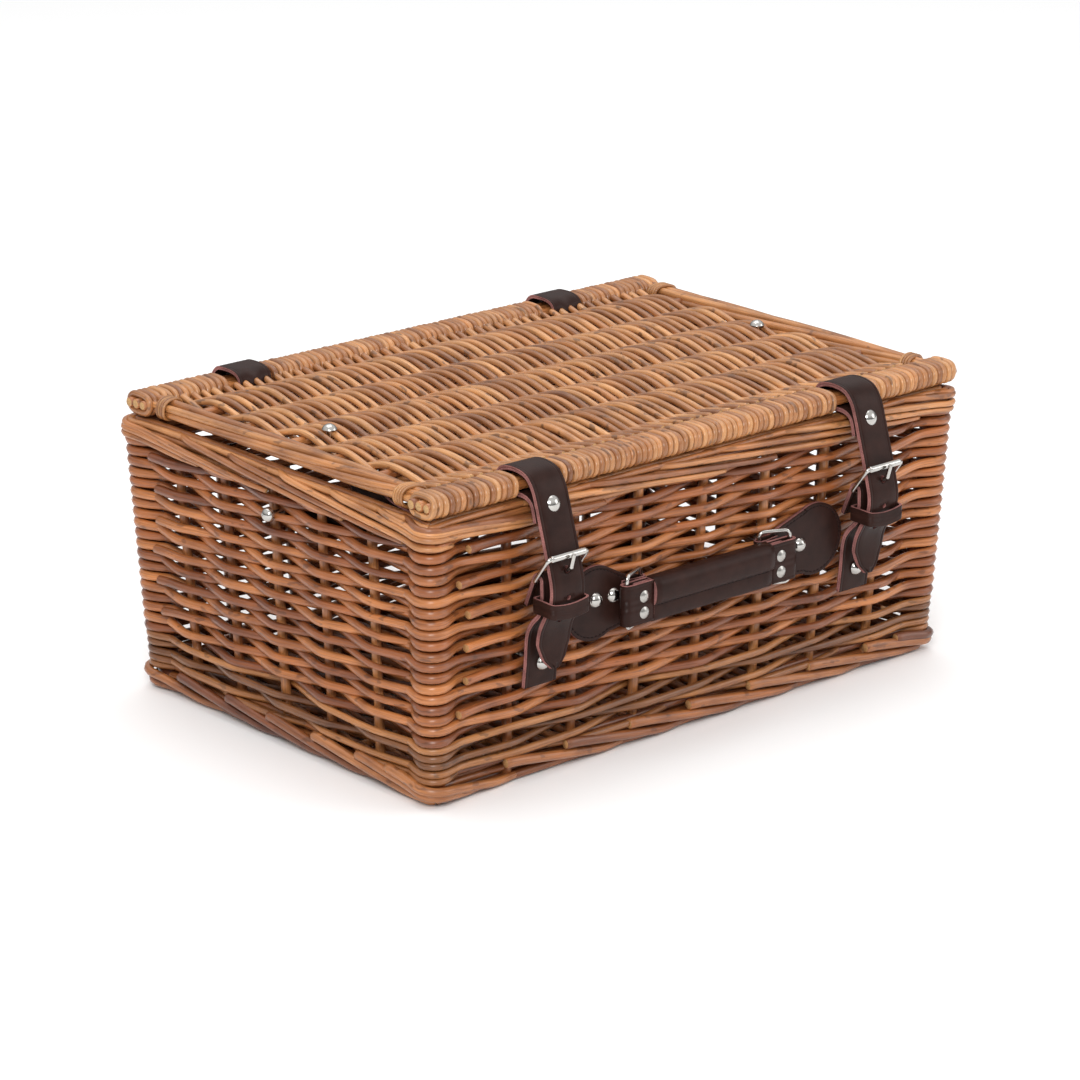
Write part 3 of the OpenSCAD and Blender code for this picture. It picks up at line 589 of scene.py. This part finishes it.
def build_lid():
    """The woven panel and its sticks, the two wrapped bars and the bundles along the ends."""
    lo, hi = box_mm("lid_weave")
    sticks = [8 + 45 * i for i in range(-2, 3)]
    weave = Rods("lid_rods", 9)
    count = 97
    y = np.linspace(lo[1] + 0.5, hi[1] - 0.5, 96)
    for i in range(count):
        x = lo[0] + 2.2 + (hi[0] - lo[0] - 4.4) * i / (count - 1) + rng.normal(0, 0.2)
        knots = [lo[1] - 13] + sticks + [hi[1] + 13]
        levels = [4.6 * (1 if (i + k) % 2 else -1) + rng.normal(0, 0.25) for k in range(-1, 6)]
        z = LID_Z + ease(y, knots, levels)
        lean = rng.normal(0, 0.5) + 0.7
        xs = x + lean * np.sin((y - lo[1]) / 33 + i * math.pi) * 0.7 + rng.normal(0, 0.3) * y / 130
        r = ease(y, [lo[1], 0, hi[1]], np.clip(rng.normal(2.32, 0.16, 3), 1.95, 2.65))
        weave.add(np.stack([xs, y, z], 1), r, ref=(1, 0, 0))
    weave.build("lid", ["lid_weave"], "pale_wicker", [LID, LID_END])
    cross = Rods("lid_stick_rods", 10)
    for y0 in sticks:
        x = np.linspace(LID_L + 12, LID_R - 12, 60)
        cross.add(np.stack([x, y0 + 0.4 * np.sin(x / 50), np.full(60, LID_Z)], 1), 3.2)
    cross.build("lid", ["lid_sticks"], "pale_wicker", [STAKE, LID_END])
    for side, name in ((-1, "front"), (1, "back")):
        core = Rods(f"lid_{name}_bar_rods", 12)
        for k in (-1, 0, 1):
            x = np.linspace(LID_L, LID_R, 60)
            y = side * BAR_Y + 7 * k + 0.3 * np.sin(x / 40 + k)
            core.add(np.stack([x, y, LID_Z + 0.4 * np.sin(x / 60 + k)], 1), 3.35 + 0.15 * k)
        core.build("lid", [f"lid_{name}_rods"], "dark_wicker", [FOOT, LID_END])
        wrap_bar(side, name)
    for side, name in ((-1, "left"), (1, "right")):
        side_bundle(side, name)


def wrap_bar(side, name):
    """Rods bent over a bar, side by side, with gaps where the straps go round it."""
    wraps = Rods(f"lid_{name}_bar_wraps", 9)
    gaps = [(x - 15.5, x + 15.5) for x in STRAP_X]
    x = LID_L + 3.2
    turn = np.linspace(0, 2 * math.pi, 25)[:-1]
    while x < LID_R - 2.5:
        r = float(np.clip(rng.normal(2.28, 0.17), 1.9, 2.6))
        if not any(lo - r < x < hi + r for lo, hi in gaps):
            slant = rng.normal(1.0, 0.45)
            c, s = np.cos(turn), np.sin(turn)
            wide, tall = 13.4 - r, 7.9 - r
            yy = side * BAR_Y + wide * np.sign(c) * np.abs(c) ** 0.62
            zz = LID_Z + tall * np.sign(s) * np.abs(s) ** 0.8 + rng.normal(0, 0.12)
            xx = x + slant * np.sin(turn + 0.5) - side * 0.15 * np.cos(3 * turn)
            pts = np.stack([xx, yy, zz], 1)
            wraps.add(np.vstack([pts, pts[:2]]), r, ends=False, ref=(1, 0, 0))
        x += r * 2 - 0.1 + rng.uniform(0, 0.25)
    wraps.build("lid", [f"lid_{name}_wrap"], "pale_wicker", [LID, LID_END])


def side_bundle(side, name):
    """Six loose rods along one end of the lid, and the cane ties that hold them at the corners."""
    bundle = Rods(f"lid_{name}_side_bundle", 10)
    lo, hi = box_mm(f"lid_{name}_side_rods")
    middle = (lo[0] + hi[0]) / 2
    y = np.linspace(lo[1] - 9, hi[1] + 9, 70)
    pinch = 0.62 + 0.38 * np.clip((126 - np.abs(y)) / 60, 0, 1)
    for k in range(6):
        phase = 2 * math.pi * k / 6 + (0.7 + 0.22 * k) * y / 131 + 0.4 * side
        x = middle + 7.6 * pinch * np.cos(phase) + 0.8 * np.sin(y / 23 + 2 * k)
        z = LID_Z + 3.6 * np.sin(phase)
        r = 2.45 + 0.3 * np.sin(y / 90 + k) + rng.normal(0, 0.15)
        bundle.add(np.stack([x, y, z], 1), r, ref=(0, 0, 1))
    bundle.build("lid", [f"lid_{name}_side_rods"], "wicker", [BUNDLE, LID_END])
    ties = Rods(f"lid_{name}_ties", 8)
    turn = np.linspace(0, 2 * math.pi, 29)
    for end in (-1, 1):
        for k in range(4):
            c, s = np.cos(turn), np.sin(turn)
            x = middle + 8.7 * np.sign(c) * np.abs(c) ** 0.8
            z = LID_Z + 6.5 * np.sign(s) * np.abs(s) ** 0.8
            y = end * (119.5 + 2.35 * k - side * (x - middle) * 0.2)
            ties.add(np.stack([x, y, z], 1), 1.05, rng.random(), ends=False, ref=(0, 1, 0))
    ties.build("lid", ["lid_corner_ties"], "pale_wicker", [CANE, LID_END])


# -------------------------------------------- leather


def smooth_path(points, steps=6, closed=False):
    """A Catmull-Rom curve through the points."""
    p = np.asarray(points, float)
    p = np.vstack([p[-1:], p, p[:2]] if closed else [p[:1], p, p[-1:]])
    out = []
    for a, b, c, d in zip(p, p[1:], p[2:], p[3:]):
        for k in range(steps):
            t = k / steps
            square, cube = 2 * a - 5 * b + 4 * c - d, 3 * b - a - 3 * c + d
            out.append(0.5 * (2 * b + (c - a) * t + square * t**2 + cube * t**3))
    if not closed:
        out.append(p[-1])
    return np.array(out)


def round_loop(centre, u, v, a, b, c, steps=6):
    """A rounded rectangle about centre in the plane of u and v. Its first two points end it as well."""
    u, v, pts = np.array(u, float), np.array(v, float), []
    for su, sv, a0 in ((1, 1, 0), (-1, 1, 90), (-1, -1, 180), (1, -1, 270)):
        for t in np.radians(np.linspace(a0, a0 + 90, steps)):
            pts.append(centre + u * (su * (a - c) + c * math.cos(t)) + v * (sv * (b - c) + c * math.sin(t)))
    return np.vstack([pts, pts[:2]])


def hide_mesh(name, verts, faces, mats, smooth=True):
    """A mesh from points in millimetres with the leather materials. Faces of many sides stay flat."""
    verts = (np.asarray(verts) + MIDDLE) / 1000
    return new_mesh(name, verts, faces, (HIDE, HIDE_EDGE, HIDE_INK), mats,
                    [smooth and len(f) < 5 for f in faces])


def band(name, path, across, width, thick, closed=False, crease=2.3, groove=0.2):
    """A mesh of a leather strip along path: a rounded section with a pressed crease near each edge."""
    path = np.asarray(path, float)
    n = len(path)
    width = np.broadcast_to(np.asarray(width, float), (n,))
    across = np.broadcast_to(np.asarray(across, float), path.shape)
    tan = np.roll(path, -1, 0) - np.roll(path, 1, 0) if closed else np.gradient(path, axis=0)
    normal = unit(np.cross(unit(tan), across))
    # a quarter of the section: share of the half width, millimetres added to that, and level of the surface
    quarter = [(0, 0, 1), (0.45, 0, 1), (1, -crease - 1, 1 - groove * 0.05),
               (1, -crease - 0.35, 1 - groove / 2), (1, -crease, 1 - groove),
               (1, -crease + 0.35, 1 - groove / 2), (1, -crease + 0.9, 1 - groove * 0.05),
               (1, -0.4, 0.98), (1, -0.08, 0.86), (1, 0, 0.5), (1, 0, 0.14), (1, -0.4, 0.03)]
    section = []
    for sign_w, sign_h in ((1, 1), (1, -1), (-1, -1), (-1, 1)):
        part = [(sign_w, share, w, sign_h * level) for share, w, level in quarter]
        section += part if sign_w * sign_h > 0 else part[::-1]
    k = len(section)
    on_edge = [share == 1 and w > -0.45 and abs(level) < 0.9 for _, share, w, level in section]
    verts = np.zeros((n, k, 3))
    for j, (sign_w, share, w, level) in enumerate(section):
        side = sign_w * np.maximum(width / 2 * share + w, 0.05 * share)
        verts[:, j] = path + across * side[:, None] + normal * (level * thick / 2)
    faces, mats = [], []
    for i in range(n if closed else n - 1):
        for j in range(k):
            i2, j2 = (i + 1) % n, (j + 1) % k
            faces.append((i * k + j, i * k + j2, i2 * k + j2, i2 * k + j))
            mats.append(1 if on_edge[j] and on_edge[j2] else 0)
    if not closed:
        faces += [tuple(range(k))[::-1], tuple((n - 1) * k + j for j in range(k))]
        mats += [1, 1]
    return outward(hide_mesh(name, verts.reshape(-1, 3), faces, mats))


def outward(mesh):
    """Turns every face of a closed mesh outwards."""
    work = bmesh.new()
    work.from_mesh(mesh)
    bmesh.ops.recalc_face_normals(work, faces=work.faces)
    work.to_mesh(mesh)
    work.free()
    mesh.update()
    return mesh


def joined(name, meshes):
    """One mesh out of several that share their material list."""
    verts, faces, mats, smooth = [], [], [], []
    for mesh in meshes:
        base = len(verts)
        verts += [tuple(v.co) for v in mesh.vertices]
        for p in mesh.polygons:
            faces.append([base + i for i in p.vertices])
            mats.append(p.material_index)
            smooth.append(p.use_smooth)
    out = new_mesh(name, verts, faces, meshes[0].materials, mats, smooth)
    for mesh in meshes:
        bpy.data.meshes.remove(mesh)
    return out


def stitches(points, normal, step=3.2, length=2.0, r=0.34):
    """Short dark threads along a line of points, as one mesh."""
    pts = np.asarray(points, float)
    along = np.concatenate([[0], np.cumsum(np.linalg.norm(np.diff(pts, axis=0), axis=1))])
    thread = Rods("thread", 6)
    lift = np.outer([0, 0.22, 0.3, 0.22, 0], normal)
    for s in np.arange(step / 2, along[-1] - step / 2, step):
        at = s + length * np.array([-0.5, -0.25, 0, 0.25, 0.5])
        part = np.stack([np.interp(at, along, pts[:, c]) for c in range(3)], 1)
        thread.add(part + lift, r, ref=normal)
    return hide_mesh("thread", np.vstack(thread.v), thread.f, np.full(len(thread.f), 2))


def pierced(piece, holes, flat=1.0):
    """Cuts holes through a piece: (from, to, radius) each, in millimetres. flat below 1 makes slots."""
    cutter = Rods("cutter", 20)
    for a, b, r in holes:
        a, b = np.array(a, float), np.array(b, float)
        cutter.add([a + (b - a) * t for t in (0, 0.33, 0.67, 1)], r, flat=flat)
    mesh = hide_mesh("cutter", np.vstack(cutter.v), cutter.f, np.full(len(cutter.f), 1), smooth=False)
    tool = placed("cutter", outward(mesh))
    cut = piece.modifiers.new("holes", "BOOLEAN")
    cut.operation, cut.object, cut.solver = "DIFFERENCE", tool, "EXACT"
    bpy.context.view_layer.update()
    graph = bpy.context.evaluated_depsgraph_get()
    done = bpy.data.meshes.new_from_object(piece.evaluated_get(graph))
    piece.modifiers.clear()
    piece.data = done
    bpy.data.objects.remove(tool)
    bpy.data.meshes.remove(mesh)


def build_closing_straps():
    """Each closing strap: the half that hangs from the lid, the half with the buckle, and the keeper."""
    upper = smooth_path([(-166.3, 176), (-163, 187), (-156, 190.9), (-145, 190.9), (-135.5, 191.4),
                         (-130.4, 196.5), (-134, 203.6), (-145, 206.2), (-157, 204.2), (-163.8, 197),
                         (-167.8, 186.5), (-170.8, 176.5), (-175.4, 161.5), (-179, 149), (-181.6, 138),
                         (-181, 128), (-175.6, 117.5), (-170.4, 107), (-168.4, 95), (-169.6, 80.5)], 6)
    heel = np.array([HEEL_Y, HEEL_Z])
    turn = [heel + 3.55 * np.array([math.cos(a), math.sin(a)]) for a in np.radians(np.linspace(23, 180, 11))]
    hanging = smooth_path([(-172.6, 134), (-172.6, 129), (-170.8, 118.8), (-163, 110), (-158.6, 101),
                           (-156.9, 82), (-155, 66)], 6)
    lower = np.vstack([[(-157.5, 121.5)], turn, hanging])
    prong_z, hole_gap = 146.3, 16.5
    for x, side in zip(STRAP_X, ("left", "right")):
        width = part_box(side + "_upper_strap")
        width = (width[1][0] - width[0][0]) * 1000
        path = [(x, y, z) for y, z in upper]
        taper = np.interp(upper[:, 1], [80, 82, 86, 97.5], [5, 9, 17, width])
        strap = settle(band(f"{side}_closing_strap", path, (1, 0, 0), taper, 3.4), None,
                       [f"{side}_upper_strap"])
        holes = [((x, -160, 134.2), (x, -196, 157.0), 2.4)]
        for z in (prong_z - hole_gap, prong_z - 2 * hole_gap):
            holes.append(((x, -160, z), (x, -200, z), 1.6))
        pierced(strap, holes)
        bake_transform(strap)
        path = [(x, y, z) for y, z in lower]
        tail = settle(band(f"{side}_buckle_strap", path, (1, 0, 0), width, 3.4), "basket",
                      [f"{side}_lower_strap"])
        pierced(tail, [((x, -150, 136), (x, -180, 136), 9.6)], 0.26)
        build_keeper(side)


def build_keeper(side):
    """The leather loop that holds a strap's end, sagging at its front."""
    lo, hi = box_mm(side + "_keeper")
    middle, half = (lo + hi) / 2, (hi - lo) / 2 - 1
    corners = round_loop(middle, (1, 0, 0), (0, 1, 0), half[0], half[1], 2.2, 5)[:-2]
    path = []
    for p, q in zip(corners, np.roll(corners, -1, axis=0)):
        parts = max(1, int(math.dist(p, q) / 3))
        path += [p + (q - p) * k / parts for k in range(parts)]
    path = np.array(path)
    out = (middle - path) / half
    path[:, 2] -= 2.2 * np.maximum(0, out[:, 1]) * np.cos(out[:, 0] * 1.4)
    settle(band(f"{side}_keeper_band", path, (0, 0, 1), hi[2] - lo[2] - 1.4, 1.9, True, 1.6, 0.0),
           f"{side}_keeper", [f"{side}_keeper"])


def build_hinges():
    """The leather loops round the lid's back bar and their tabs on the back wall."""
    top, axis_y = LID_Z + 8, 160.5
    near, far = BAR_Y + 13.5, BAR_Y - 13.5
    loop = smooth_path([(axis_y + 0.1, 190.4), (axis_y + 0.5, 197), (near - 2.2, top - 0.5),
                        (BAR_Y + 4, top + 1.4), (far + 5.4, top + 0.9), (far - 0.4, top - 3),
                        (far - 0.4, LID_Z - 1.4), (far + 4.5, LID_Z - 6.1), (BAR_Y + 4, LID_Z - 6.2),
                        (axis_y - 2, 189.9)], 6, closed=True)
    lo, hi = box_mm("hinge_tabs")
    loops, tabs = [], []
    for x in STRAP_X:
        loops.append(band("loop", [(x, y, z) for y, z in loop], (1, 0, 0), 26, 2.7, closed=True))
        z = np.linspace(hi[2], lo[2], 14)
        y = (lo[1] + hi[1]) / 2 + 0.25 * np.sin(z / 9)
        tabs.append(band("tab", np.column_stack([np.full(14, x), y, z]), (1, 0, 0),
                         np.interp(z, [lo[2], lo[2] + 4], [20, 26]), 3.3))
    settle(joined("hinge_strap_loops", loops), "lid", ["hinge_loops"])
    settle(joined("hinge_strap_tabs", tabs), "basket", ["hinge_tabs"])


def plate(name, outline_xz, y_back, thick):
    """A flat piece of leather facing -Y with a rounded edge and a pressed crease. Returns a mesh."""
    outline_xz = np.asarray(outline_xz, float)
    n = len(outline_xz)
    tan = unit(np.roll(outline_xz, -1, 0) - np.roll(outline_xz, 1, 0))
    inward = np.stack([-tan[:, 1], tan[:, 0]], 1)
    layers = [(0, 0), (0, 0.8), (0.12, 0.94), (0.5, 1.0), (1.7, 1.0), (2.05, 0.95), (CREASE, 0.92),
              (2.65, 0.95), (3.0, 1.0)]
    verts, faces, mats = [], [], []
    for inset, level in layers:
        ring = outline_xz + inward * inset
        verts += [(p[0], y_back - thick * level, p[1]) for p in ring]
    for li in range(len(layers) - 1):
        for i in range(n):
            j = (i + 1) % n
            faces.append((li * n + i, li * n + j, (li + 1) * n + j, (li + 1) * n + i))
            mats.append(1 if li == 0 else 0)
    last = (len(layers) - 1) * n
    faces += [tuple(range(last, last + n)), tuple(range(n))[::-1]]
    mats += [0, 1]
    return outward(hide_mesh(name, verts, faces, mats))


def build_patches():
    """The handle's two patches: a stitched disc drawn out to a neck that folds round the ring."""
    for side, name in ((-1, "left"), (1, "right")):
        lo, hi = box_mm(name + "_handle_patch")
        radius = (hi[2] - lo[2]) / 2
        cz = (lo[2] + hi[2]) / 2
        back, thick = -154.7, 3.2
        neck_x = lo[0] + EYE_R if side > 0 else hi[0] - EYE_R
        neck_y = lo[1] + EYE_R
        cx = hi[0] - radius if side > 0 else lo[0] + radius
        neck = np.radians(62)
        turn = np.linspace(neck, 2 * math.pi - neck, 52)
        line = [(cx - side * radius * math.cos(a), cz + radius * math.sin(a)) for a in turn]
        low_z, high_z = HANDLE_Z - 13.5, HANDLE_Z + 13.5
        reach = neck_x - cx
        line += [(cx + reach * 0.62, low_z - 3.2), (cx + reach * 0.8, low_z - 0.8), (neck_x, low_z),
                 (neck_x, HANDLE_Z), (neck_x, high_z), (cx + reach * 0.8, high_z + 1.2),
                 (cx + reach * 0.62, high_z + 4.4)]
        line = smooth_path(line[::side], 2, closed=True)
        area = np.sum(line[:, 0] * np.roll(line[:, 1], -1) - np.roll(line[:, 0], -1) * line[:, 1])
        if area < 0:
            line = line[::-1]
        meshes = [plate("patch", line, back, thick)]
        arc = [(neck_x - side * 2.7 * math.sin(a), neck_y + 2.7 * math.cos(a))
               for a in np.linspace(0, math.pi, 9)]
        tail = [(neck_x + side * 5, neck_y - 2.6), (neck_x + side * 11, neck_y - 1.4),
                (neck_x + side * 16, neck_y - 0.6)]
        path = np.array([(neck_x + side * 6, neck_y + 2.4)] + arc + tail)
        path = np.column_stack([path, np.full(len(path), HANDLE_Z)])
        meshes.append(band("eye", path, (0, 0, 1), 27, 1.7))
        way = unit(np.roll(line, -1, 0) - np.roll(line, 1, 0))
        seam = line + np.stack([-way[:, 1], way[:, 0]], 1) * CREASE
        seam = seam[np.abs(seam[:, 0] - neck_x) > 5]
        jump = np.argmax(np.linalg.norm(np.diff(seam, axis=0, append=seam[:1]), axis=1))
        seam = np.roll(seam, -(jump + 1), axis=0)
        seam = np.column_stack([seam[:, 0], np.full(len(seam), back - thick * 0.88), seam[:, 1]])
        meshes.append(stitches(seam, (0, -1, 0)))
        settle(joined(f"{name}_patch_leather", meshes), "basket", [f"{name}_handle_patch"])


def build_handle():
    """The handle's inner strap with its folded end tabs, and the stitched grip rolled round it."""
    lo, hi = box_mm("handle_strap")
    cx, cy, cz = (lo + hi) / 2
    half = (box_mm("handle_grip")[1][0] - box_mm("handle_grip")[0][0]) / 2
    tabs = []
    for side in (-1, 1):
        bar = cx + side * 71.2
        arc = [(bar + side * 3.15 * math.sin(a), cy + 3.15 * math.cos(a))
               for a in np.linspace(0, math.pi, 10)]
        leg = [(19.4, 3.1), (11, 3.15), (4, 3.2)]
        back = [(bar - side * reach, cy + out) for reach, out in leg]
        front = [(bar - side * reach, cy - out) for reach, out in leg[::-1]]
        path = smooth_path(back + arc + front, 3)
        path = np.column_stack([path, np.full(len(path), cz)])
        tabs.append(band("tab", path, (0, 0, 1), hi[2] - lo[2], 2.4))
        core = [(bar - side * 6.6, cy, cz), (bar - side * 13, cy, cz), (bar - side * 19.2, cy, cz)]
        tabs.append(band("core", core, (0, 0, 1), hi[2] - lo[2] - 1.5, 3.6))
    inner = [(cx - half, cy, cz), (cx, cy, cz), (cx + half, cy, cz)]
    tabs.append(band("inner", inner, (0, 0, 1), hi[2] - lo[2] - 3, 3.0))
    settle(joined("handle_tabs", tabs), "handle", ["handle_strap"])
    lo, hi = box_mm("handle_grip")
    deep, tall = (hi[1] - lo[1]) / 2, (hi[2] - lo[2]) / 2
    profile = []
    seam = -0.2
    for z in np.linspace(0.96, seam, 12):
        f = abs((z - 0.38) / 0.62)
        if z < 0.38:
            profile.append((deep * (0.6 + 0.4 * max(0.0, 1 - f**2.2) ** 0.6), z * tall))
        else:
            profile.append((deep * max(0.05, 1 - f**2.4) ** 0.5, z * tall))
    profile += [(deep * 0.57, (seam - 0.03) * tall), (deep * 0.62, (seam - 0.08) * tall),
                (deep * 0.62, -0.6 * tall), (deep * 0.58, -0.84 * tall), (deep * 0.45, -0.95 * tall),
                (deep * 0.2, -0.995 * tall)]
    ring = [(-d, z) for d, z in profile] + [(d, z) for d, z in profile[::-1]]
    notch = 5.2
    xs = np.concatenate([[lo[0], lo[0] + 0.4, lo[0] + notch],
                         np.linspace(lo[0] + notch + 1, hi[0] - notch - 1, 30),
                         [hi[0] - notch, hi[0] - 0.4, hi[0]]])
    verts = []
    k = len(ring)
    mid_y, mid_z = (lo[1] + hi[1]) / 2, (lo[2] + hi[2]) / 2
    for i, x in enumerate(xs):
        swell = 0.95 if i in (0, len(xs) - 1) else 1
        bend = 0.35 * math.sin((x - lo[0]) / (hi[0] - lo[0]) * math.pi)
        for d, z in ring:
            reach = min(d, 3.9) if min(x - lo[0], hi[0] - x) < notch + 0.5 else d
            verts.append((x, mid_y + reach * swell - bend * 0.5, mid_z + z * swell))
    faces = [(i * k + j, (i + 1) * k + j, (i + 1) * k + (j + 1) % k, i * k + (j + 1) % k)
             for i in range(len(xs) - 1) for j in range(k)]
    mats = [0] * len(faces) + [1, 1]
    faces += [tuple(range(k)), tuple((len(xs) - 1) * k + j for j in range(k))[::-1]]
    y, z = mid_y - deep * 0.6, mid_z + (seam - 0.03) * tall
    thread = stitches([(x, y, z) for x in np.linspace(lo[0] + 2, hi[0] - 2, 60)], (0, -1, 0), 3.4, 2.1, 0.4)
    grip = joined("handle_grip_leather", [hide_mesh("grip", verts, faces, mats), thread])
    settle(grip, "handle", ["handle_grip"])


def build_stays():
    """Leather lid stays: each half is a ribbon that twists from one stud's plane to the other's."""
    for side, name, stud_x in ((-1, "left", -180), (1, "right", 196)):
        x = mid_mm(name + "_stay_lower")[0]
        fold_y = box_mm(name + "_stay_upper")[0][1]
        stud_z = mid_mm("stay_wall_studs")[2]
        fold_z = (stud_z + 186) / 2
        path = [(x, 8.5, stud_z - 0.9), (x, 0, stud_z)]
        path += [(x, fold_y * f, stud_z + (fold_z - stud_z) * f) for f in (0.35, 0.7)]
        path = smooth_path(path + [(x, fold_y - 3, fold_z + 0.3)], 6)
        width = np.full(len(path), 17.6)
        width[:3] = 9, 13, 16
        settle(band(f"{name}_stay_low_ribbon", path, (0, -0.11, 0.994), width, 2.4),
               f"{name}_stay_lower", [f"{name}_stay_lower"])
        x0 = x - side * 2.6
        t = np.linspace(0, 1, 22)
        turn = ease(t, [0, 0.25, 0.85, 1], [0, 0.1, 1, 1]) * math.pi / 2
        path = np.column_stack([ease(t, [0, 0.2, 0.9, 1], [x0, x0, stud_x, stud_x]),
                                fold_y - 3 + (12 - fold_y) * t,
                                ease(t, [0, 0.1, 0.9, 1], [fold_z, fold_z + 1.5, 185.7, 185.7])])
        across = np.column_stack([-side * np.sin(turn), np.zeros(22), np.cos(turn)])
        width = np.interp(t, [0, 0.94, 0.97, 1], [17.6, 17.6, 14, 8])
        settle(band(f"{name}_stay_top_ribbon", path, across, width, 2.3),
               f"{name}_stay_upper", [f"{name}_stay_upper"])


def build_wires():
    """Bent wire rings and buckle frames, and the rolled tube on each buckle."""
    strap_lo, strap_hi = box_mm("handle_strap")
    for side, name in ((-1, "left"), (1, "right")):
        lo, hi = box_mm(name + "_handle_patch")
        inner = np.array([lo[0] + EYE_R if side > 0 else hi[0] - EYE_R, lo[1] + EYE_R])
        end = strap_hi[0] - 4.4 if side > 0 else strap_lo[0] + 4.4
        outer = np.array([end, (strap_lo[1] + strap_hi[1]) / 2])
        span = float(np.linalg.norm(outer - inner))
        u = np.append((outer - inner) / span, 0)
        ring = Rods(name + "_ring_wire", 14)
        loop = round_loop(np.append((inner + outer) / 2, HANDLE_Z + 1.3), u, (0, 0, 1), span / 2, 17.6, 3.4)
        ring.add(loop, 1.4, ends=False, ref=np.cross(u, (0, 0, 1)))
        ring.build(name + "_ring", [name + "_ring"], "metal", [CHROME])
    for x, side in zip(STRAP_X, ("left", "right")):
        lo, hi = box_mm(side + "_roller")
        top = np.array([x, (lo[1] + hi[1]) / 2, (lo[2] + hi[2]) / 2])
        heel = np.array([x, HEEL_Y, HEEL_Z])
        span = np.linalg.norm(top - heel)
        v = (top - heel) / span
        frame_lo, frame_hi = box_mm(side + "_buckle_frame")
        half = (frame_hi[0] - frame_lo[0]) / 2 - 1.5
        wire = Rods(side + "_buckle_wire", 14)
        loop = round_loop((top + heel) / 2, (1, 0, 0), v, half, span / 2, 2.2)
        wire.add(loop, 1.42, ends=False, ref=np.cross((1, 0, 0), v))
        wire.build(side + "_buckle_frame", [side + "_buckle_frame"], "metal", [CHROME])
        tube = Rods(side + "_roller_tube", 24)
        xs = np.array([lo[0], lo[0] + 0.3, lo[0] + 1.0, x, hi[0] - 1.0, hi[0] - 0.3, hi[0]])
        tube.add(np.column_stack([xs, np.full(7, top[1]), np.full(7, top[2])]),
                 [1.9, 2.2, 2.25, 2.25, 2.25, 2.2, 1.9])
        tube.build(side + "_roller", [side + "_roller"], "metal", [CHROME])


def dress_metal():
    """The CAD's own metal pieces keep their shape and take the plated finish."""
    for name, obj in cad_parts.items():
        if any(word in name for word in ("rivet", "stud", "prong")):
            finish = STEEL if name == "handle_rivets" else CHROME
            obj.data.materials.clear()
            obj.data.materials.append(finish)


# -------------------------------------------- floor, light and camera


def studio():
    """A pale floor, a soft sky that darkens at the horizon for the metal, and three square lamps."""
    floor_mat, _, bsdf = nodes_of("studio_floor")
    bsdf.inputs["Base Color"].default_value = (0.97, 0.97, 0.97, 1)
    bsdf.inputs["Roughness"].default_value = 0.9
    corners = [(-14, -14, 0), (14, -14, 0), (14, 14, 0), (-14, 14, 0)]
    mesh = new_mesh("studio_floor", corners, [(0, 1, 2, 3)], [floor_mat], [0], [False])
    floor = placed("studio_floor", mesh)
    world = bpy.data.worlds.new("studio")
    bpy.context.scene.world = world
    world.use_nodes = True
    sky = world.node_tree
    ray = node(sky, "ShaderNodeSeparateXYZ")
    link(sky, node(sky, "ShaderNodeTexCoord").outputs["Generated"], ray.inputs[0])
    height = node(sky, "ShaderNodeMapRange")
    link(sky, ray.outputs["Z"], height.inputs["Value"])
    height.inputs["From Min"].default_value = -1
    greys = ((0.45, 0.2), (0.55, 0.16), (0.64, 0.55), (0.8, 0.98))
    glow = ramp(sky, height.outputs["Result"], [(at, (grey,) * 3) for at, grey in greys])
    link(sky, glow, sky.nodes["Background"].inputs["Color"])
    sky.nodes["Background"].inputs["Strength"].default_value = 0.92
    for name, at, size, power in (("key", (-1.9, -1.9, 1.9), 1.0, 46), ("fill", (2.2, -2.2, 1.3), 1.8, 20),
                                  ("top", (0.2, 0.6, 2.8), 2.4, 27)):
        lamp = bpy.data.lights.new(name, "AREA")
        lamp.shape, lamp.size, lamp.energy = "SQUARE", size, power
        obj = placed(name, lamp)
        obj.location = at
        obj.rotation_euler = (Vector((0, 0, 0.1)) - Vector(at)).to_track_quat("-Z", "Y").to_euler()
    bpy.context.scene.view_settings.view_transform = "Standard"


def camera():
    """A long lens from the front left, a little above the lid."""
    yaw, pitch, distance = math.radians(-41.31), math.radians(18.44), 2.699
    back = Vector((math.sin(yaw) * math.cos(pitch), -math.cos(yaw) * math.cos(pitch), math.sin(pitch)))
    target = Vector((0.0028, MIDDLE[1] / 1000 - 0.0015, 0.09))
    data = bpy.data.cameras.new("camera")
    data.sensor_width, data.lens, data.clip_end = 36, 134.44, 60
    data.shift_x = -0.0076
    cam = placed("camera", data)
    cam.location = target + back * distance
    cam.rotation_euler = (-back).to_track_quat("-Z", "Y").to_euler()
    bpy.context.scene.camera = cam


build_walls()
build_foot()
build_rim()
build_base()
build_lid()
build_closing_straps()
build_hinges()
build_patches()
build_handle()
build_stays()
build_wires()
dress_metal()
studio()
camera()

bpy.context.view_layer.update()
